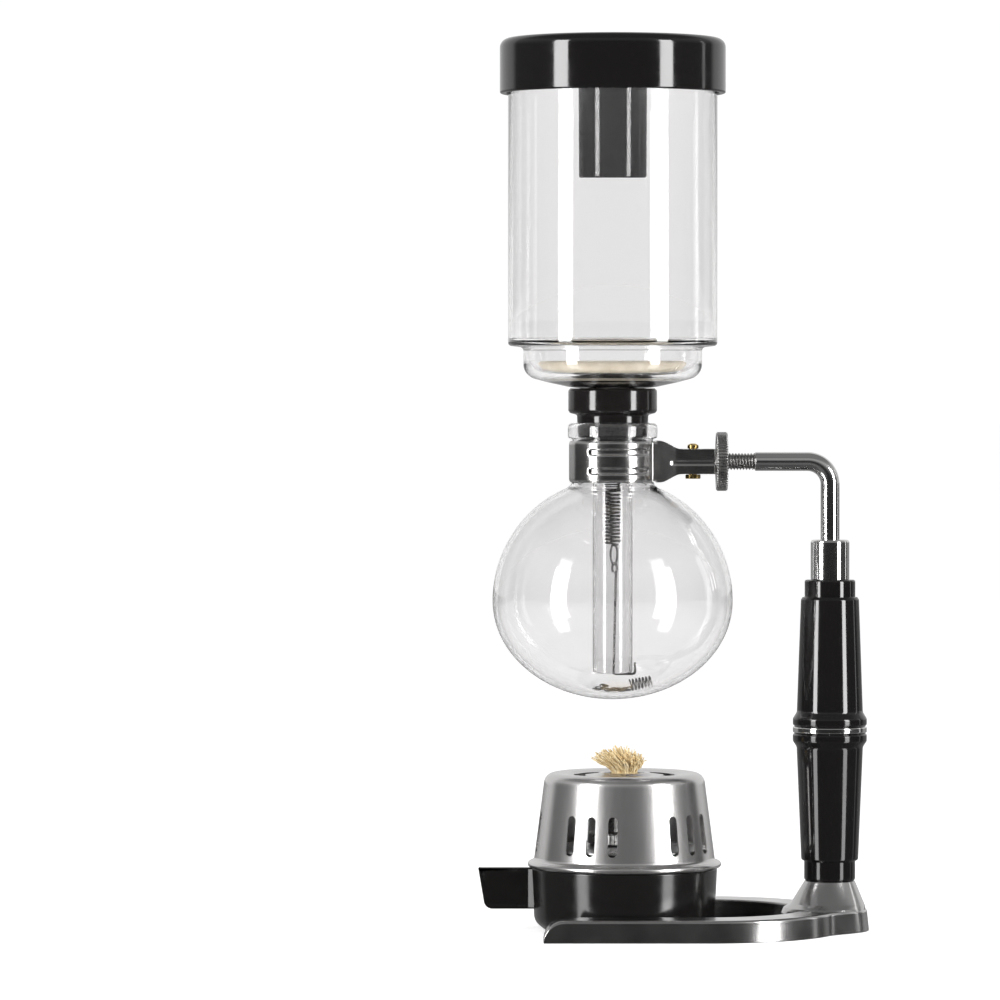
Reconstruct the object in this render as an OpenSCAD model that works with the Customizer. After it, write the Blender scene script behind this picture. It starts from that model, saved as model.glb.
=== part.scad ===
// Siphon coffee maker for three cups: a horseshoe stand with a neck clamp, a round flask,
// an upper bowl with its stopper, filter and lid, and a spirit burner with a windshield.
// Millimetres. +Z is up, +X points from the stem to the handle, and the floor is z = 0.

/* [Stand] */
// Distance from the stem axis to the handle axis
post_offset = 81.7; // [76:0.1:90]
// Height of the horizontal rod and of the clamp's middle
rod_z = 176.4; // [174:0.1:178]
// Diameter of the bent rod
rod_d = 7.1; // [6.6:0.1:7.6]
// Bend radius of the rod, at its centre line
rod_bend_r = 8.5; // [7:0.5:14]
// Height of the horseshoe's arms
arm_h = 8.4; // [7:0.1:10]
// Width of the horseshoe's arms
arm_w = 14.9; // [12:0.1:15]
// Outer radius of the horseshoe's curve, half the base's width
shoe_r = 51.2; // [50:0.1:56]
// Distance from the arms' tips to the handle axis
shoe_reach = 108; // [100:1:120]
// Height of the cast pedestal under the handle
pedestal_h = 18.8; // [17:0.1:22]

/* [Glass] */
// Outer radius of the flask's bulb
bulb_r = 45.1; // [42:0.1:46]
// Height of the bulb's widest ring above the floor
bulb_z = 124; // [122:0.5:126]
// Outer radius of the flask's neck
neck_r = 15.1; // [14.9:0.05:15.15]
// Outer radius of the upper bowl
bowl_r = 39.3; // [36:0.1:39.5]
// Height of the upper bowl's rim
bowl_top = 331.7; // [310:0.1:331.8]
// Outer radius of the glass stem
stem_r = 7.45; // [7.2:0.05:7.5]
// Height of the stem's lower end
stem_end = 96.9; // [96:0.1:98]
// Wall of the blown glass
glass_wall = 1.8; // [1.4:0.1:2]

/* [Lid] */
// Outer radius of the lid
lid_r = 42.4; // [42:0.1:44]
// Height of the lid's top, the whole height of the maker
total_h = 335; // [335:0.5:340]
// Height of the lid's skirt
lid_skirt_h = 20.6; // [15:0.1:24]
// Outer radius of the lid's column
column_r = 12.8; // [12:0.1:14]
// How far the column reaches down from the lid's top
column_h = 53.6; // [40:0.1:60]

/* [Burner] */
// Distance from the stem axis to the burner axis
burner_offset = 4.5; // [0:0.5:6]
// Outer radius of the burner's pot
pot_r = 34.9; // [33:0.1:35.2]
// Height of the pot
pot_h = 23.9; // [20:0.1:24]
// Distance from the burner axis to the end of the pot's tab
tab_reach = 55; // [48:0.5:60]
// Height of the windshield's shoulder
shield_top = 59.6; // [58:0.1:62]
// Radius of the wick
wick_r = 5.2; // [4:0.1:5.2]

/* [Hidden] */
$fn = 96;

// Running clearance between pieces that move on each other
fit = 0.06;
// Overlap that lets a cutter pass right through a face
cut = 1;

// The whole footprint is centred on x = 0
foot_r = 14.9;
right_reach = post_offset + foot_r;
left_reach = tab_reach - burner_offset;
stem_x = (left_reach - right_reach) / 2;
post_x = stem_x + post_offset;
burner_x = stem_x + burner_offset;

// Base
shoe_x = post_x - 47;
shoe_tip_x = post_x - shoe_reach;
tip_round = 8;
flank_start = 28;
flank_end = 40;
socket_z = 13;
washer_z = 5.2;
screw_r = 3;

// Handle, from the pedestal up
handle_bore_r = rod_d / 2 + 0.1;
ring_z = 74.6;
ring_h = 2.2;
bulge_r = 13.9;
handle_top = 132;
ferrule_h = 15;
ferrule_r = 7.25;

// Clamp
clamp_h = 15.6;
clamp_z = rod_z - clamp_h / 2;
sheet = 0.7;
band_r = neck_r + 0.6;
groove_depth = 0.5;
groove_half = 1.7;
groove_offset = 3.55;
pivot_x = 30.2;
pivot_r = 1.5;
tail_end = 38.3;
tail_half = 4.4;
tail_y = 4.4;
ear_sheet = 0.8;
ear_r = 4;
thread_r = 3.2;
thread_pitch = 1.15;
thread_start = 34.5;
thread_end = 53.5;
cone_x = 37.7;
cone_h = 1.2;
nut_r = 11.05;
nut_h = 4.2;
knurl_teeth = 60;

// Flask
bulb_low = 36.9;
bulb_high = 46;
neck_z = 167.5;
lip_low = 184.8;
lip_top = 190.8;
neck_wall = 1.6;

// Boiling chain, lying in the flask in front of the stem
chain_y = -4.2;
bead_r = 0.8;

// Upper bowl
stem_wall = 1.2;
bowl_floor_z = 203.2;
step_z = 219.4;
step_r = 33.6;

// Filter, on the bowl's floor
filter_r = 28.3;
filter_z = 209.2;
filter_h = 4.4;
cloth_t = 0.9;
plate_r = 26;
plate_t = 0.7;

// Spring and hook inside the stem
spring_r = 3.2;
spring_wire = 0.7;
spring_low = 145.5;
spring_high = 203;
link_x = 0.4;
link_z = 141.7;
hook_wire_r = 0.45;
hook_z = stem_end - hook_wire_r - 0.1;
hook_out = stem_r + hook_wire_r + 0.6;
hook_bend_r = 1;

// Burner
tank_r = 31.6;
tank_top = 31.5;
neck_top = 35.6;
collar_z = 37;
tube_top = 59.2;
shield_sheet = 0.6;
rim_r = 1.2;
slot_z = 37.4;
slot_half = 5.7;
slot_r = 1.8;
vent_r = 17.4;

// Points along an arc about (cx, cy), from angle a0 to angle a1
function arc(cx, cy, r, a0, a1, n = 8) =
    [for (i = [0:n]) let (a = a0 + (a1 - a0) * i / n) [cx + r * cos(a), cy + r * sin(a)]];

// Height above the floor of the flask's inner bottom, at radius r
function flask_floor(r) =
    bulb_z - (bulb_low - glass_wall) * sqrt(1 - pow(r / (bulb_r - glass_wall), 2));

// Half outline of the bulb and neck, shrunk by t, from the bottom up to the lip
function bulb_outline(t, neck) = let (
    a = bulb_r - t,
    high = bulb_high - t,
    top = asin(sqrt(1 - pow((neck + 1.5) / a, 2))))
    concat(
        [for (i = [0:14]) let (e = -90 + 90 * i / 14) [a * cos(e), bulb_z + (bulb_low - t) * sin(e)]],
        [for (i = [1:12]) let (e = top * i / 12) [a * cos(e), bulb_z + high * sin(e)]],
        [[neck + 0.4, neck_z + 0.6], [neck, neck_z + 2.2]]);

// Half outline of the upper bowl, shrunk by t, from the stem's end up to the rim
function bowl_outline(t, stem) = concat(
    [[stem, stem_end], [stem, bowl_floor_z - 2]],
    arc(stem + 2, bowl_floor_z - 2 + t * 0.6, 2, 180, 110, 4),
    [[16, 204.3 + t], [22.5, 205.5 + t]],
    arc(step_r - 9, 215.4, 9 - t, -60, 0, 7),
    arc(step_r + 2 - t, step_z - 1.6 + t, 2, 180, 100, 4),
    arc(bowl_r - 3, step_z + 3.6, 3 - t, -75, 0, 6),
    [[bowl_r - t, bowl_top]]);

module lathe(points) rotate_extrude() polygon(points);

module at_stem(z = 0) translate([stem_x, 0, z]) children();

module at_post(z = 0) translate([post_x, 0, z]) children();

module at_burner(z = 0) translate([burner_x, 0, z]) children();

// A piece turned about the horizontal rod, starting at distance x from the stem axis
module on_rod(x) translate([stem_x + x, 0, rod_z]) rotate([0, 90, 0]) children();

// A ring of holes in a plate
module hole_ring(count, ring_r, hole_r, z0, z1) {
    for (i = [0:count - 1])
        rotate(360 * i / count)
            translate([ring_r, 0, z0])
                cylinder(r = hole_r, h = z1 - z0, $fn = 16);
}

// Round wire between two points, stopping short of each by the given gap
module wire(from, to, r, gap) {
    d = to - from;
    length = norm(d);
    translate(from)
        rotate([0, acos(d[2] / length), atan2(d[1], d[0])])
            translate([0, 0, gap])
                cylinder(r = r, h = length - 2 * gap, $fn = 16);
}

// ---------------------------------------------------------------- stand

module shoe_outline() {
    difference() {
        union() {
            translate([shoe_x, 0]) circle(r = shoe_r);
            translate([shoe_tip_x, -shoe_r]) square([shoe_x - shoe_tip_x, 2 * shoe_r]);
            translate([post_x, 0]) circle(r = foot_r);
            for (side = [-1, 1])
                polygon([
                    [post_x - 15, 0],
                    [shoe_x + shoe_r * cos(flank_start), side * shoe_r * sin(flank_start)],
                    [post_x + foot_r * cos(flank_end), side * foot_r * sin(flank_end)],
                    [post_x, 0]]);
        }
        translate([shoe_x, 0]) circle(r = shoe_r - arm_w);
        translate([shoe_tip_x - cut, arm_w - shoe_r])
            square([shoe_x - shoe_tip_x + cut, 2 * (shoe_r - arm_w)]);
    }
}

// Side outline of the arms, with the tips rounded down to the floor
module shoe_side() {
    translate([0, shoe_r + cut, 0])
        rotate([90, 0, 0])
            linear_extrude(2 * (shoe_r + cut))
                polygon(concat(
                    [[shoe_tip_x, 0]],
                    arc(shoe_tip_x + tip_round, arm_h - tip_round, tip_round, 180, 90),
                    [[post_x + foot_r + cut, arm_h], [post_x + foot_r + cut, 0]]));
}

module pedestal() {
    at_post() lathe([[0, 0], [foot_r, 0], [14.3, 3.8], [13.9, 6.8], [13.4, 9.8], [12, 12.8],
        [10.9, 15.8], [9.4, pedestal_h], [0, pedestal_h]]);
}

module base() {
    color("silver") difference() {
        union() {
            intersection() {
                linear_extrude(arm_h) shoe_outline();
                shoe_side();
            }
            pedestal();
        }
        at_post(-cut) cylinder(r = 6.6, h = washer_z + 0.8 + cut);
        at_post() cylinder(r = screw_r + 0.1, h = pedestal_h);
        at_post(socket_z) cylinder(r = rod_d / 2 + 0.03, h = pedestal_h);
    }
}

module base_washer() {
    color("gainsboro") at_post(washer_z) difference() {
        cylinder(r = 6.2, h = 0.75);
        translate([0, 0, -cut]) cylinder(r = screw_r + 0.1, h = 1 + 2 * cut);
    }
}

module base_screw() {
    color("dimgray") at_post() difference() {
        union() {
            translate([0, 0, 1.2]) cylinder(r = 5.2, h = washer_z - 1.2);
            translate([0, 0, washer_z]) cylinder(r = screw_r, h = 20);
        }
        cylinder(r = 2.9, h = 4, $fn = 6);
    }
}

module handle_lower() {
    color("black") at_post() lathe(concat(
        [[handle_bore_r, pedestal_h + 0.05], [8.8, pedestal_h + 0.05]],
        arc(8.8, pedestal_h + 0.85, 0.8, -90, 0, 3),
        [[9.6, 26.3], [10.3, 26.9], [10.7, 27.8], [12.4, 69.6]],
        arc(12.3, 72.6, 1.7, -70, 40, 6),
        [[12.9, ring_z], [handle_bore_r, ring_z]]));
}

module handle_ring() {
    color("silver") at_post() lathe([[handle_bore_r, ring_z], [bulge_r - 0.3, ring_z],
        [bulge_r, ring_z + 0.3], [bulge_r, ring_z + ring_h - 0.3], [bulge_r - 0.3, ring_z + ring_h],
        [handle_bore_r, ring_z + ring_h]]);
}

module handle_upper() {
    color("black") at_post() lathe(concat(
        [[handle_bore_r, ring_z + ring_h], [13, ring_z + ring_h]],
        arc(12.3, 78.9, 1.7, -40, 70, 6),
        [[12.4, 82.2], [10.9, 124.4], [10.6, 125.3], [9.5, 125.6], [9.5, handle_top - 0.6],
            [8.9, handle_top], [handle_bore_r, handle_top]]));
}

module handle_ferrule() {
    color("silver") at_post() lathe([[handle_bore_r, handle_top], [ferrule_r, handle_top],
        [ferrule_r, handle_top + ferrule_h - 0.7], [ferrule_r - 0.7, handle_top + ferrule_h],
        [handle_bore_r, handle_top + ferrule_h]]);
}

// Thread as stacked rings along +Z
module thread(length) {
    turns = floor(length / thread_pitch);
    points = [for (i = [0:turns - 1]) each [
        [thread_r - 0.55, i * thread_pitch],
        [thread_r, (i + 0.35) * thread_pitch],
        [thread_r, (i + 0.65) * thread_pitch]]];
    rotate_extrude($fn = 48)
        polygon(concat([[0, 0]], points,
            [[thread_r - 0.55, turns * thread_pitch], [thread_r - 0.55, length], [0, length]]));
}

module stand_rod() {
    bend_z = rod_z - rod_bend_r;
    bend_x = post_x - rod_bend_r;
    eye_half = 2.7;
    color("silver") difference() {
        union() {
            at_post(socket_z + 0.05) cylinder(d = rod_d, h = bend_z - socket_z - 0.05);
            translate([bend_x, 0, bend_z])
                rotate([90, 0, 0])
                    rotate_extrude(angle = 90)
                        translate([rod_bend_r, 0]) circle(d = rod_d, $fn = 48);
            on_rod(thread_end) cylinder(d = rod_d, h = bend_x - stem_x - thread_end);
            on_rod(thread_start) thread(thread_end - thread_start);
            on_rod(pivot_x + 1) cylinder(r = eye_half - 0.1, h = thread_start - pivot_x - 1);
            at_stem() translate([pivot_x, 0, rod_z - eye_half])
                cylinder(r = 3.5, h = 2 * eye_half);
        }
        at_post(socket_z - cut) cylinder(r = screw_r + 0.02, h = 15 + cut);
        at_stem() translate([pivot_x, 0, rod_z - 2 * eye_half])
            cylinder(r = pivot_r + fit, h = 4 * eye_half);
    }
}

// ---------------------------------------------------------------- clamp

module pivot_screw() {
    head_z = rod_z + tail_half + 0.45;
    color("goldenrod") at_stem() translate([pivot_x, 0, 0]) difference() {
        union() {
            translate([0, 0, rod_z - tail_half - 2.1])
                cylinder(r = pivot_r, h = 2 * tail_half + 2.6);
            translate([0, 0, head_z]) cylinder(r = 2.1, h = 1.4);
            translate([0, 0, head_z + 1.4]) cylinder(r1 = 2.1, r2 = 1.6, h = 0.5);
        }
        translate([-3, -0.35, head_z + 1.1]) cube([6, 0.7, 2]);
    }
}

module pivot_nut() {
    color("goldenrod") at_stem() translate([pivot_x, 0, rod_z - tail_half - 2.1]) difference() {
        cylinder(r = 2.9, h = 1.6, $fn = 6);
        translate([0, 0, -cut]) cylinder(r = pivot_r + 0.02, h = 2 + 2 * cut);
    }
}

// Section of the clamp's band, pressed inward in two grooves that grip the neck
module band_section() {
    function bumps(r) = [for (s = [-1, 1]) each [
        [r, rod_z + s * groove_offset - groove_half],
        [r - groove_depth, rod_z + s * groove_offset - groove_half + 0.7],
        [r - groove_depth, rod_z + s * groove_offset + groove_half - 0.7],
        [r, rod_z + s * groove_offset + groove_half]]];
    inner = concat([[band_r, clamp_z]], bumps(band_r), [[band_r, clamp_z + clamp_h]]);
    outer = concat([[band_r + sheet, clamp_z]], bumps(band_r + sheet),
        [[band_r + sheet, clamp_z + clamp_h]]);
    polygon(concat(inner, [for (i = [len(outer) - 1:-1:0]) outer[i]]));
}

module plain_band_section() {
    translate([band_r, clamp_z]) square([sheet, clamp_h]);
}

// Plan of the tail, from the band's end out to the tip, on the -Y side
module tail_plan() {
    a = -28;
    polygon([
        [band_r * cos(a), band_r * sin(a)],
        [17.2, -tail_y - 1.4],
        [24, -tail_y],
        [tail_end, -tail_y],
        [tail_end, -tail_y - ear_sheet],
        [24, -tail_y - ear_sheet],
        [17.4, -tail_y - 2.2],
        [(band_r + sheet) * cos(a), (band_r + sheet) * sin(a)]]);
}

// Side view of the tail, which narrows from the band's height to the tip's
module tail_side(tip) {
    half = clamp_h / 2;
    rotate([90, 0, 0])
        linear_extrude(30, center = true)
            polygon([[12, rod_z - half], [17.4, rod_z - half], [20, rod_z - half + 0.5],
                [23, rod_z - tip - 0.9], [26, rod_z - tip], [tail_end + cut, rod_z - tip],
                [tail_end + cut, rod_z + tip], [26, rod_z + tip], [23, rod_z + tip + 0.9],
                [20, rod_z + half - 0.5], [17.4, rod_z + half], [12, rod_z + half]]);
}

// One ear that turns on the pivot, at height z
module ear(z) {
    translate([pivot_x, 0, z]) cylinder(r = ear_r, h = ear_sheet);
    translate([pivot_x - ear_r, -tail_y - 0.2, z]) cube([2 * ear_r, tail_y + 0.2, ear_sheet]);
}

// One half of the clamp, drawn on the -Y side; its ears sit the given distance inside the tail
module clamp_jaw(ear_inset) {
    difference() {
        union() {
            rotate_extrude(angle = 48, start = -130) band_section();
            rotate_extrude(angle = 49, start = -179) plain_band_section();
            rotate_extrude(angle = 30, start = -82.05) band_section();
            rotate_extrude(angle = 24.1, start = -52.1) plain_band_section();
            intersection() {
                translate([0, 0, clamp_z]) linear_extrude(clamp_h) tail_plan();
                tail_side(tail_half);
            }
            ear(rod_z + tail_half - ear_sheet - ear_inset);
            ear(rod_z - tail_half + ear_inset);
        }
        translate([pivot_x, 0, clamp_z]) cylinder(r = pivot_r + fit, h = clamp_h);
    }
}

module clamp_jaw_front() {
    color("silver") at_stem() clamp_jaw(0);
}

module clamp_jaw_back() {
    color("lightsteelblue") at_stem() mirror([0, 1, 0]) clamp_jaw(ear_sheet + 0.1);
}

module clamp_cone() {
    color("gainsboro") on_rod(cone_x) lathe([[thread_r + 0.07, 0], [3.75, 0], [4.25, 0.6],
        [5, 0.9], [5, cone_h], [thread_r + 0.07, cone_h]]);
}

module clamp_nut() {
    tooth = 360 / knurl_teeth;
    color("gray") on_rod(cone_x + cone_h) difference() {
        intersection() {
            linear_extrude(nut_h)
                polygon([for (i = [0:knurl_teeth - 1]) each [
                    [nut_r * cos(i * tooth), nut_r * sin(i * tooth)],
                    [nut_r * cos((i + 0.4) * tooth), nut_r * sin((i + 0.4) * tooth)],
                    [(nut_r - 0.55) * cos((i + 0.7) * tooth), (nut_r - 0.55) * sin((i + 0.7) * tooth)]]]);
            lathe([[0, 0], [nut_r - 0.5, 0], [nut_r, 0.5], [nut_r, nut_h - 0.5],
                [nut_r - 0.5, nut_h], [0, nut_h]]);
        }
        translate([0, 0, -cut]) cylinder(r = thread_r + 0.07, h = nut_h + 2 * cut);
    }
}

// ---------------------------------------------------------------- flask

module flask() {
    outer = bulb_outline(0, neck_r);
    inner = bulb_outline(glass_wall, neck_r - neck_wall);
    lip = concat([[neck_r, lip_low]], arc(neck_r - 0.6, lip_low + 2.1, 2.1, -60, 20, 5),
        arc(neck_r - 0.1, lip_top - 1.6, 1.6, 10, 90, 5), [[neck_r - neck_wall, lip_top]]);
    color("lightcyan", 0.4) at_stem()
        lathe(concat(outer, lip, [for (i = [len(inner) - 1:-1:0]) inner[i]]));
}

function bead_place(i) = let (
    x = -6 + i * 1.95,
    y = chain_y + 0.6 * sin(i * 110),
    lift = bead_r + 0.1 + (i % 4 == 1 ? 0.5 : 0))
    [x, y, flask_floor(norm([x, y])) + lift];

module boiling_chain() {
    color("silver") at_stem() {
        for (i = [0:6])
            translate(bead_place(i)) sphere(r = bead_r, $fn = 24);
        for (i = [0:5])
            wire(bead_place(i), bead_place(i + 1), 0.25, bead_r + 0.03);
    }
}

module boiling_coil() {
    color("silver") at_stem() translate([6.4, chain_y, 92.25]) rotate([0, 80, 0]) difference() {
        cylinder(r = 2.4, h = 8.4, $fn = 32);
        translate([0, 0, -cut]) cylinder(r = 1.7, h = 8.4 + 2 * cut, $fn = 32);
    }
}

// ---------------------------------------------------------------- upper bowl and filter

module upper_bowl() {
    inner = bowl_outline(glass_wall, stem_r - stem_wall);
    color("lightcyan", 0.4) at_stem()
        lathe(concat(bowl_outline(0, stem_r), [for (i = [len(inner) - 1:-1:0]) inner[i]]));
}

module stopper() {
    bore = stem_r + 0.02;
    color("black") at_stem() lathe([[bore, 175], [12.2, 175], [12.7, 175.8], [13.25, 190.9],
        [13.4, 193.4], [14.2, 194.5], [16, 194.5], [16.7, 195.2], [16.7, 203.2], [16.1, 203.9],
        [9.4, 202.6], [bore, 200.9]]);
}

module filter_cloth() {
    top = filter_z + filter_h;
    r = filter_h / 2;
    color("wheat") at_stem() difference() {
        lathe(concat([[9, filter_z]], arc(filter_r - r, filter_z + r, r, -90, 90, 8), [[0, top],
            [0, top - cloth_t], [9, top - cloth_t]]));
        translate([0, 0, filter_z + cloth_t]) cylinder(r = plate_r + 0.1, h = filter_h - 2 * cloth_t);
    }
}

module filter_plate(z) {
    color("silver") at_stem() difference() {
        translate([0, 0, z]) cylinder(r = plate_r, h = plate_t);
        for (ring = [1:3])
            hole_ring(8 * ring, 6.8 * ring, 1.4, z - cut, z + plate_t + cut);
        translate([0, 0, z - cut]) cylinder(r = 1.6, h = plate_t + 2 * cut);
    }
}

module filter_plate_upper() filter_plate(filter_z + filter_h - cloth_t - plate_t - 0.05);

module filter_plate_lower() filter_plate(filter_z + cloth_t + 0.05);

module filter_screw() {
    low = filter_z + cloth_t + 0.05;
    high = filter_z + filter_h - cloth_t - plate_t - 0.05;
    color("gainsboro") at_stem() difference() {
        union() {
            translate([0, 0, low + plate_t]) cylinder(r = 3.2, h = high - low - plate_t);
            translate([0, 0, low - 0.1]) cylinder(r = 1.58, h = high - low + plate_t);
            translate([0, 0, 206.6]) cylinder(r = 4.6, h = low - 206.6);
            translate([0, 0, spring_high]) cylinder(r = 2, h = 206.7 - spring_high);
        }
        translate([-3, 0, spring_high + 1.6]) rotate([0, 90, 0]) cylinder(r = 0.7, h = 6, $fn = 24);
    }
}

module filter_spring() {
    color("silver") at_stem(spring_low) difference() {
        cylinder(r = spring_r, h = spring_high - spring_low - 0.05, $fn = 48);
        translate([0, 0, -cut])
            cylinder(r = spring_r - spring_wire, h = spring_high - spring_low + 2 * cut, $fn = 48);
    }
}

// Flat oval ring of wire in the XZ plane: half width w, half height h
module oval_ring(w, h, r) {
    rotate([90, 0, 0]) {
        for (side = [-1, 1]) {
            translate([0, side * (h - w), 0])
                rotate_extrude(angle = 180, start = side > 0 ? 0 : 180)
                    translate([w, 0]) circle(r = r, $fn = 16);
            translate([side * w, w - h, 0])
                rotate([-90, 0, 0])
                    cylinder(r = r, h = 2 * (h - w), $fn = 16);
        }
    }
}

module spring_link() {
    color("silver") at_stem() translate([link_x, 0, link_z]) rotate(20) oval_ring(0.95, 3.1, 0.32);
}

// Quarter bend of the hook's wire about a centre in the XZ plane, from angle start
module hook_bend(x, z, start) {
    translate([x, 0, z])
        rotate([90, 0, 0])
            rotate_extrude(angle = 90, start = start)
                translate([hook_bend_r, 0]) circle(r = hook_wire_r, $fn = 24);
}

module hook_wire() {
    eye_z = 138.1;
    shank_x = 0.9;
    low = hook_z + hook_bend_r;
    color("silver") at_stem() {
        translate([link_x + 0.1, 0, eye_z]) rotate(-60) oval_ring(1.1, 1.6, 0.32);
        translate([shank_x, 0, low]) cylinder(r = hook_wire_r, h = eye_z - 1.5 - low, $fn = 24);
        hook_bend(shank_x + hook_bend_r, low, 180);
        translate([shank_x + hook_bend_r, 0, hook_z])
            rotate([0, 90, 0])
                cylinder(r = hook_wire_r, h = hook_out - shank_x - 2 * hook_bend_r, $fn = 24);
        hook_bend(hook_out - hook_bend_r, low, 270);
        translate([hook_out, 0, low]) cylinder(r = hook_wire_r, h = 3.4, $fn = 24);
    }
}

module lid() {
    skirt = total_h - lid_skirt_h;
    roof = total_h - 3;
    wall = 2.4;
    column_low = total_h - column_h;
    color("black") at_stem() lathe(concat(
        [[0, roof], [column_r - 2.2, roof - 0.2], [column_r - 2.2, column_low],
            [column_r, column_low], [column_r, roof], [lid_r - wall, roof],
            [lid_r - wall, skirt], [lid_r - 0.4, skirt], [lid_r, skirt + 0.4]],
        arc(lid_r - 3, total_h - 3, 3, 0, 90, 6),
        [[0, total_h]]));
}

// ---------------------------------------------------------------- burner

module burner_pot() {
    wall = 2.6;
    color("black") difference() {
        union() {
            at_burner() lathe(concat([[0, 0], [pot_r - 5.4, 0]],
                arc(pot_r - 5.4, 5, 5, -90, 0, 6), [[pot_r, pot_h], [0, pot_h]]));
            at_burner() translate([0, 2, 0]) rotate([90, 0, 0]) linear_extrude(4)
                polygon(concat([[-tab_reach, pot_h - 0.6], [-tab_reach + 0.6, pot_h - 0.1],
                    [2 - pot_r, pot_h - 0.1], [2 - pot_r, 8.3]],
                    arc(-tab_reach + 5.6, 11.1, 2.8, 270, 190, 5)));
        }
        at_burner() lathe(concat([[0, 2.5], [pot_r - wall - 3, 2.5]],
            arc(pot_r - wall - 3, 5.5, 3, -90, 0, 4),
            [[pot_r - wall, pot_h + cut], [0, pot_h + cut]]));
    }
}

module burner_tank() {
    color("lightgray") at_burner() lathe([
        [0, 2.7], [27.5, 2.7], [30.4, 4.2], [tank_r, 7], [tank_r, tank_top - 0.9],
        [tank_r + 0.35, tank_top - 0.5], [tank_r - 0.2, tank_top], [24, tank_top + 0.6],
        [12.6, tank_top + 1], [12.2, tank_top + 1.3], [12.2, neck_top], [11, neck_top],
        [11, tank_top + 0.3], [23.8, tank_top - 0.1], [tank_r - 1, tank_top - 0.7],
        [tank_r - 0.8, 7.2], [30, 5], [27.3, 3.5], [0, 3.5]]);
}

module tank_gasket() {
    color("dimgray") at_burner(neck_top + 0.05) difference() {
        cylinder(r = 12.2, h = 0.75);
        translate([0, 0, -cut]) cylinder(r = 7, h = 0.75 + 2 * cut);
    }
}

// Ring with vertical ribs round its edge
module ribbed_ring(r, bore, z, h, ribs) {
    step = 360 / ribs;
    at_burner(z) difference() {
        linear_extrude(h)
            polygon([for (i = [0:ribs - 1]) each [
                [r * cos(i * step), r * sin(i * step)],
                [r * cos((i + 0.45) * step), r * sin((i + 0.45) * step)],
                [(r - 0.5) * cos((i + 0.72) * step), (r - 0.5) * sin((i + 0.72) * step)]]]);
        translate([0, 0, -cut]) cylinder(r = bore, h = h + 2 * cut);
    }
}

module tank_cap() {
    skirt_z = tank_top + 1.4;
    top_z = 36.45;
    color("silver") {
        ribbed_ring(13.7, 12.35, skirt_z, top_z - skirt_z + 0.05, 40);
        at_burner(top_z) difference() {
            cylinder(r = 12.9, h = 0.8);
            translate([0, 0, -cut]) cylinder(r = 7, h = 0.8 + 2 * cut);
        }
    }
}

module wick_collar() {
    color("gainsboro") ribbed_ring(9.6, 6.75, collar_z + 0.3, 6.3, 32);
}

module wick_tube() {
    bore = wick_r + 0.12;
    color("silver") at_burner() lathe([[bore, 31], [6.7, 31], [6.7, 56], [7.1, tube_top - 0.6],
        [7.1, tube_top], [6.6, tube_top + 0.1], [bore, 57.5]]);
}

module wick() {
    tuft_z = tube_top + 0.6;
    color("wheat") at_burner() lathe([[0, 8], [wick_r, 8], [wick_r, tuft_z - 0.4], [6.6, tuft_z + 1],
        [7, tuft_z + 3.5], [6.6, tuft_z + 6.4], [5, tuft_z + 8.6], [0, tuft_z + 9.8]]);
}

// Outline of the windshield's sheet, shrunk by t, from the centre hole out and down
function shield_outline(t) = concat(
    [[7.7, shield_top - t], [9.2, shield_top - t], [10.6, shield_top - 0.9 - t],
        [20.3, shield_top - 1.1 - t], [22.6, shield_top - 0.4 - t]],
    arc(24.3, shield_top - 6, 6 - t, 90, 8, 7),
    [[34 - t, 26.6]]);

// Slots through the wall, three in each of five groups
module shield_slots() {
    for (group = [0:4], slot = [-1:1])
        rotate(-90 - 24 + 72 * group + 15 * slot)
            translate([20, 0, slot_z]) rotate([90, 0, 90]) linear_extrude(20)
                polygon(concat(
                    arc(0, slot_half, slot_r, 0, 180, 6),
                    arc(0, -slot_half, slot_r, 180, 360, 6)));
}

// Curved vents in the top, with round ends
module shield_vents() {
    half_angle = 15;
    vent_w = 2.2;
    ends = [for (side = [-1, 1]) [vent_r * cos(half_angle), side * vent_r * sin(half_angle)]];
    for (i = [0:5])
        rotate(30 + 60 * i) translate([0, 0, shield_top - 4]) linear_extrude(6)
            polygon(concat(
                arc(0, 0, vent_r + vent_w, -half_angle, half_angle, 5),
                arc(ends[1][0], ends[1][1], vent_w, half_angle + 36, half_angle + 144, 3),
                arc(0, 0, vent_r - vent_w, half_angle, -half_angle, 5),
                arc(ends[0][0], ends[0][1], vent_w, 216 - half_angle, 324 - half_angle, 3)));
}

module windshield() {
    inner = shield_outline(shield_sheet);
    color("silver") at_burner() difference() {
        union() {
            lathe(concat(shield_outline(0), [[35, 26.3], [35, 25.7], [33.4, 25.7]],
                [for (i = [len(inner) - 1:-1:0]) inner[i]]));
            translate([0, 0, pot_h + 0.1 + rim_r])
                rotate_extrude() translate([35.2, 0]) circle(r = rim_r, $fn = 24);
        }
        shield_slots();
        shield_vents();
    }
}

base();
base_washer();
base_screw();
handle_lower();
handle_ring();
handle_upper();
handle_ferrule();
stand_rod();
pivot_screw();
pivot_nut();
clamp_jaw_front();
clamp_jaw_back();
clamp_cone();
clamp_nut();
flask();
boiling_chain();
boiling_coil();
upper_bowl();
stopper();
filter_cloth();
filter_plate_upper();
filter_plate_lower();
filter_screw();
filter_spring();
spring_link();
hook_wire();
lid();
burner_pot();
burner_tank();
tank_gasket();
tank_cap();
wick_collar();
wick_tube();
wick();
windshield();
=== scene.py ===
"""Looks of the siphon coffee maker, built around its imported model.

Lengths in the helpers are millimetres."""

import math
import random

import bmesh
import bpy
from mathutils import Matrix, Vector, geometry


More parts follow.
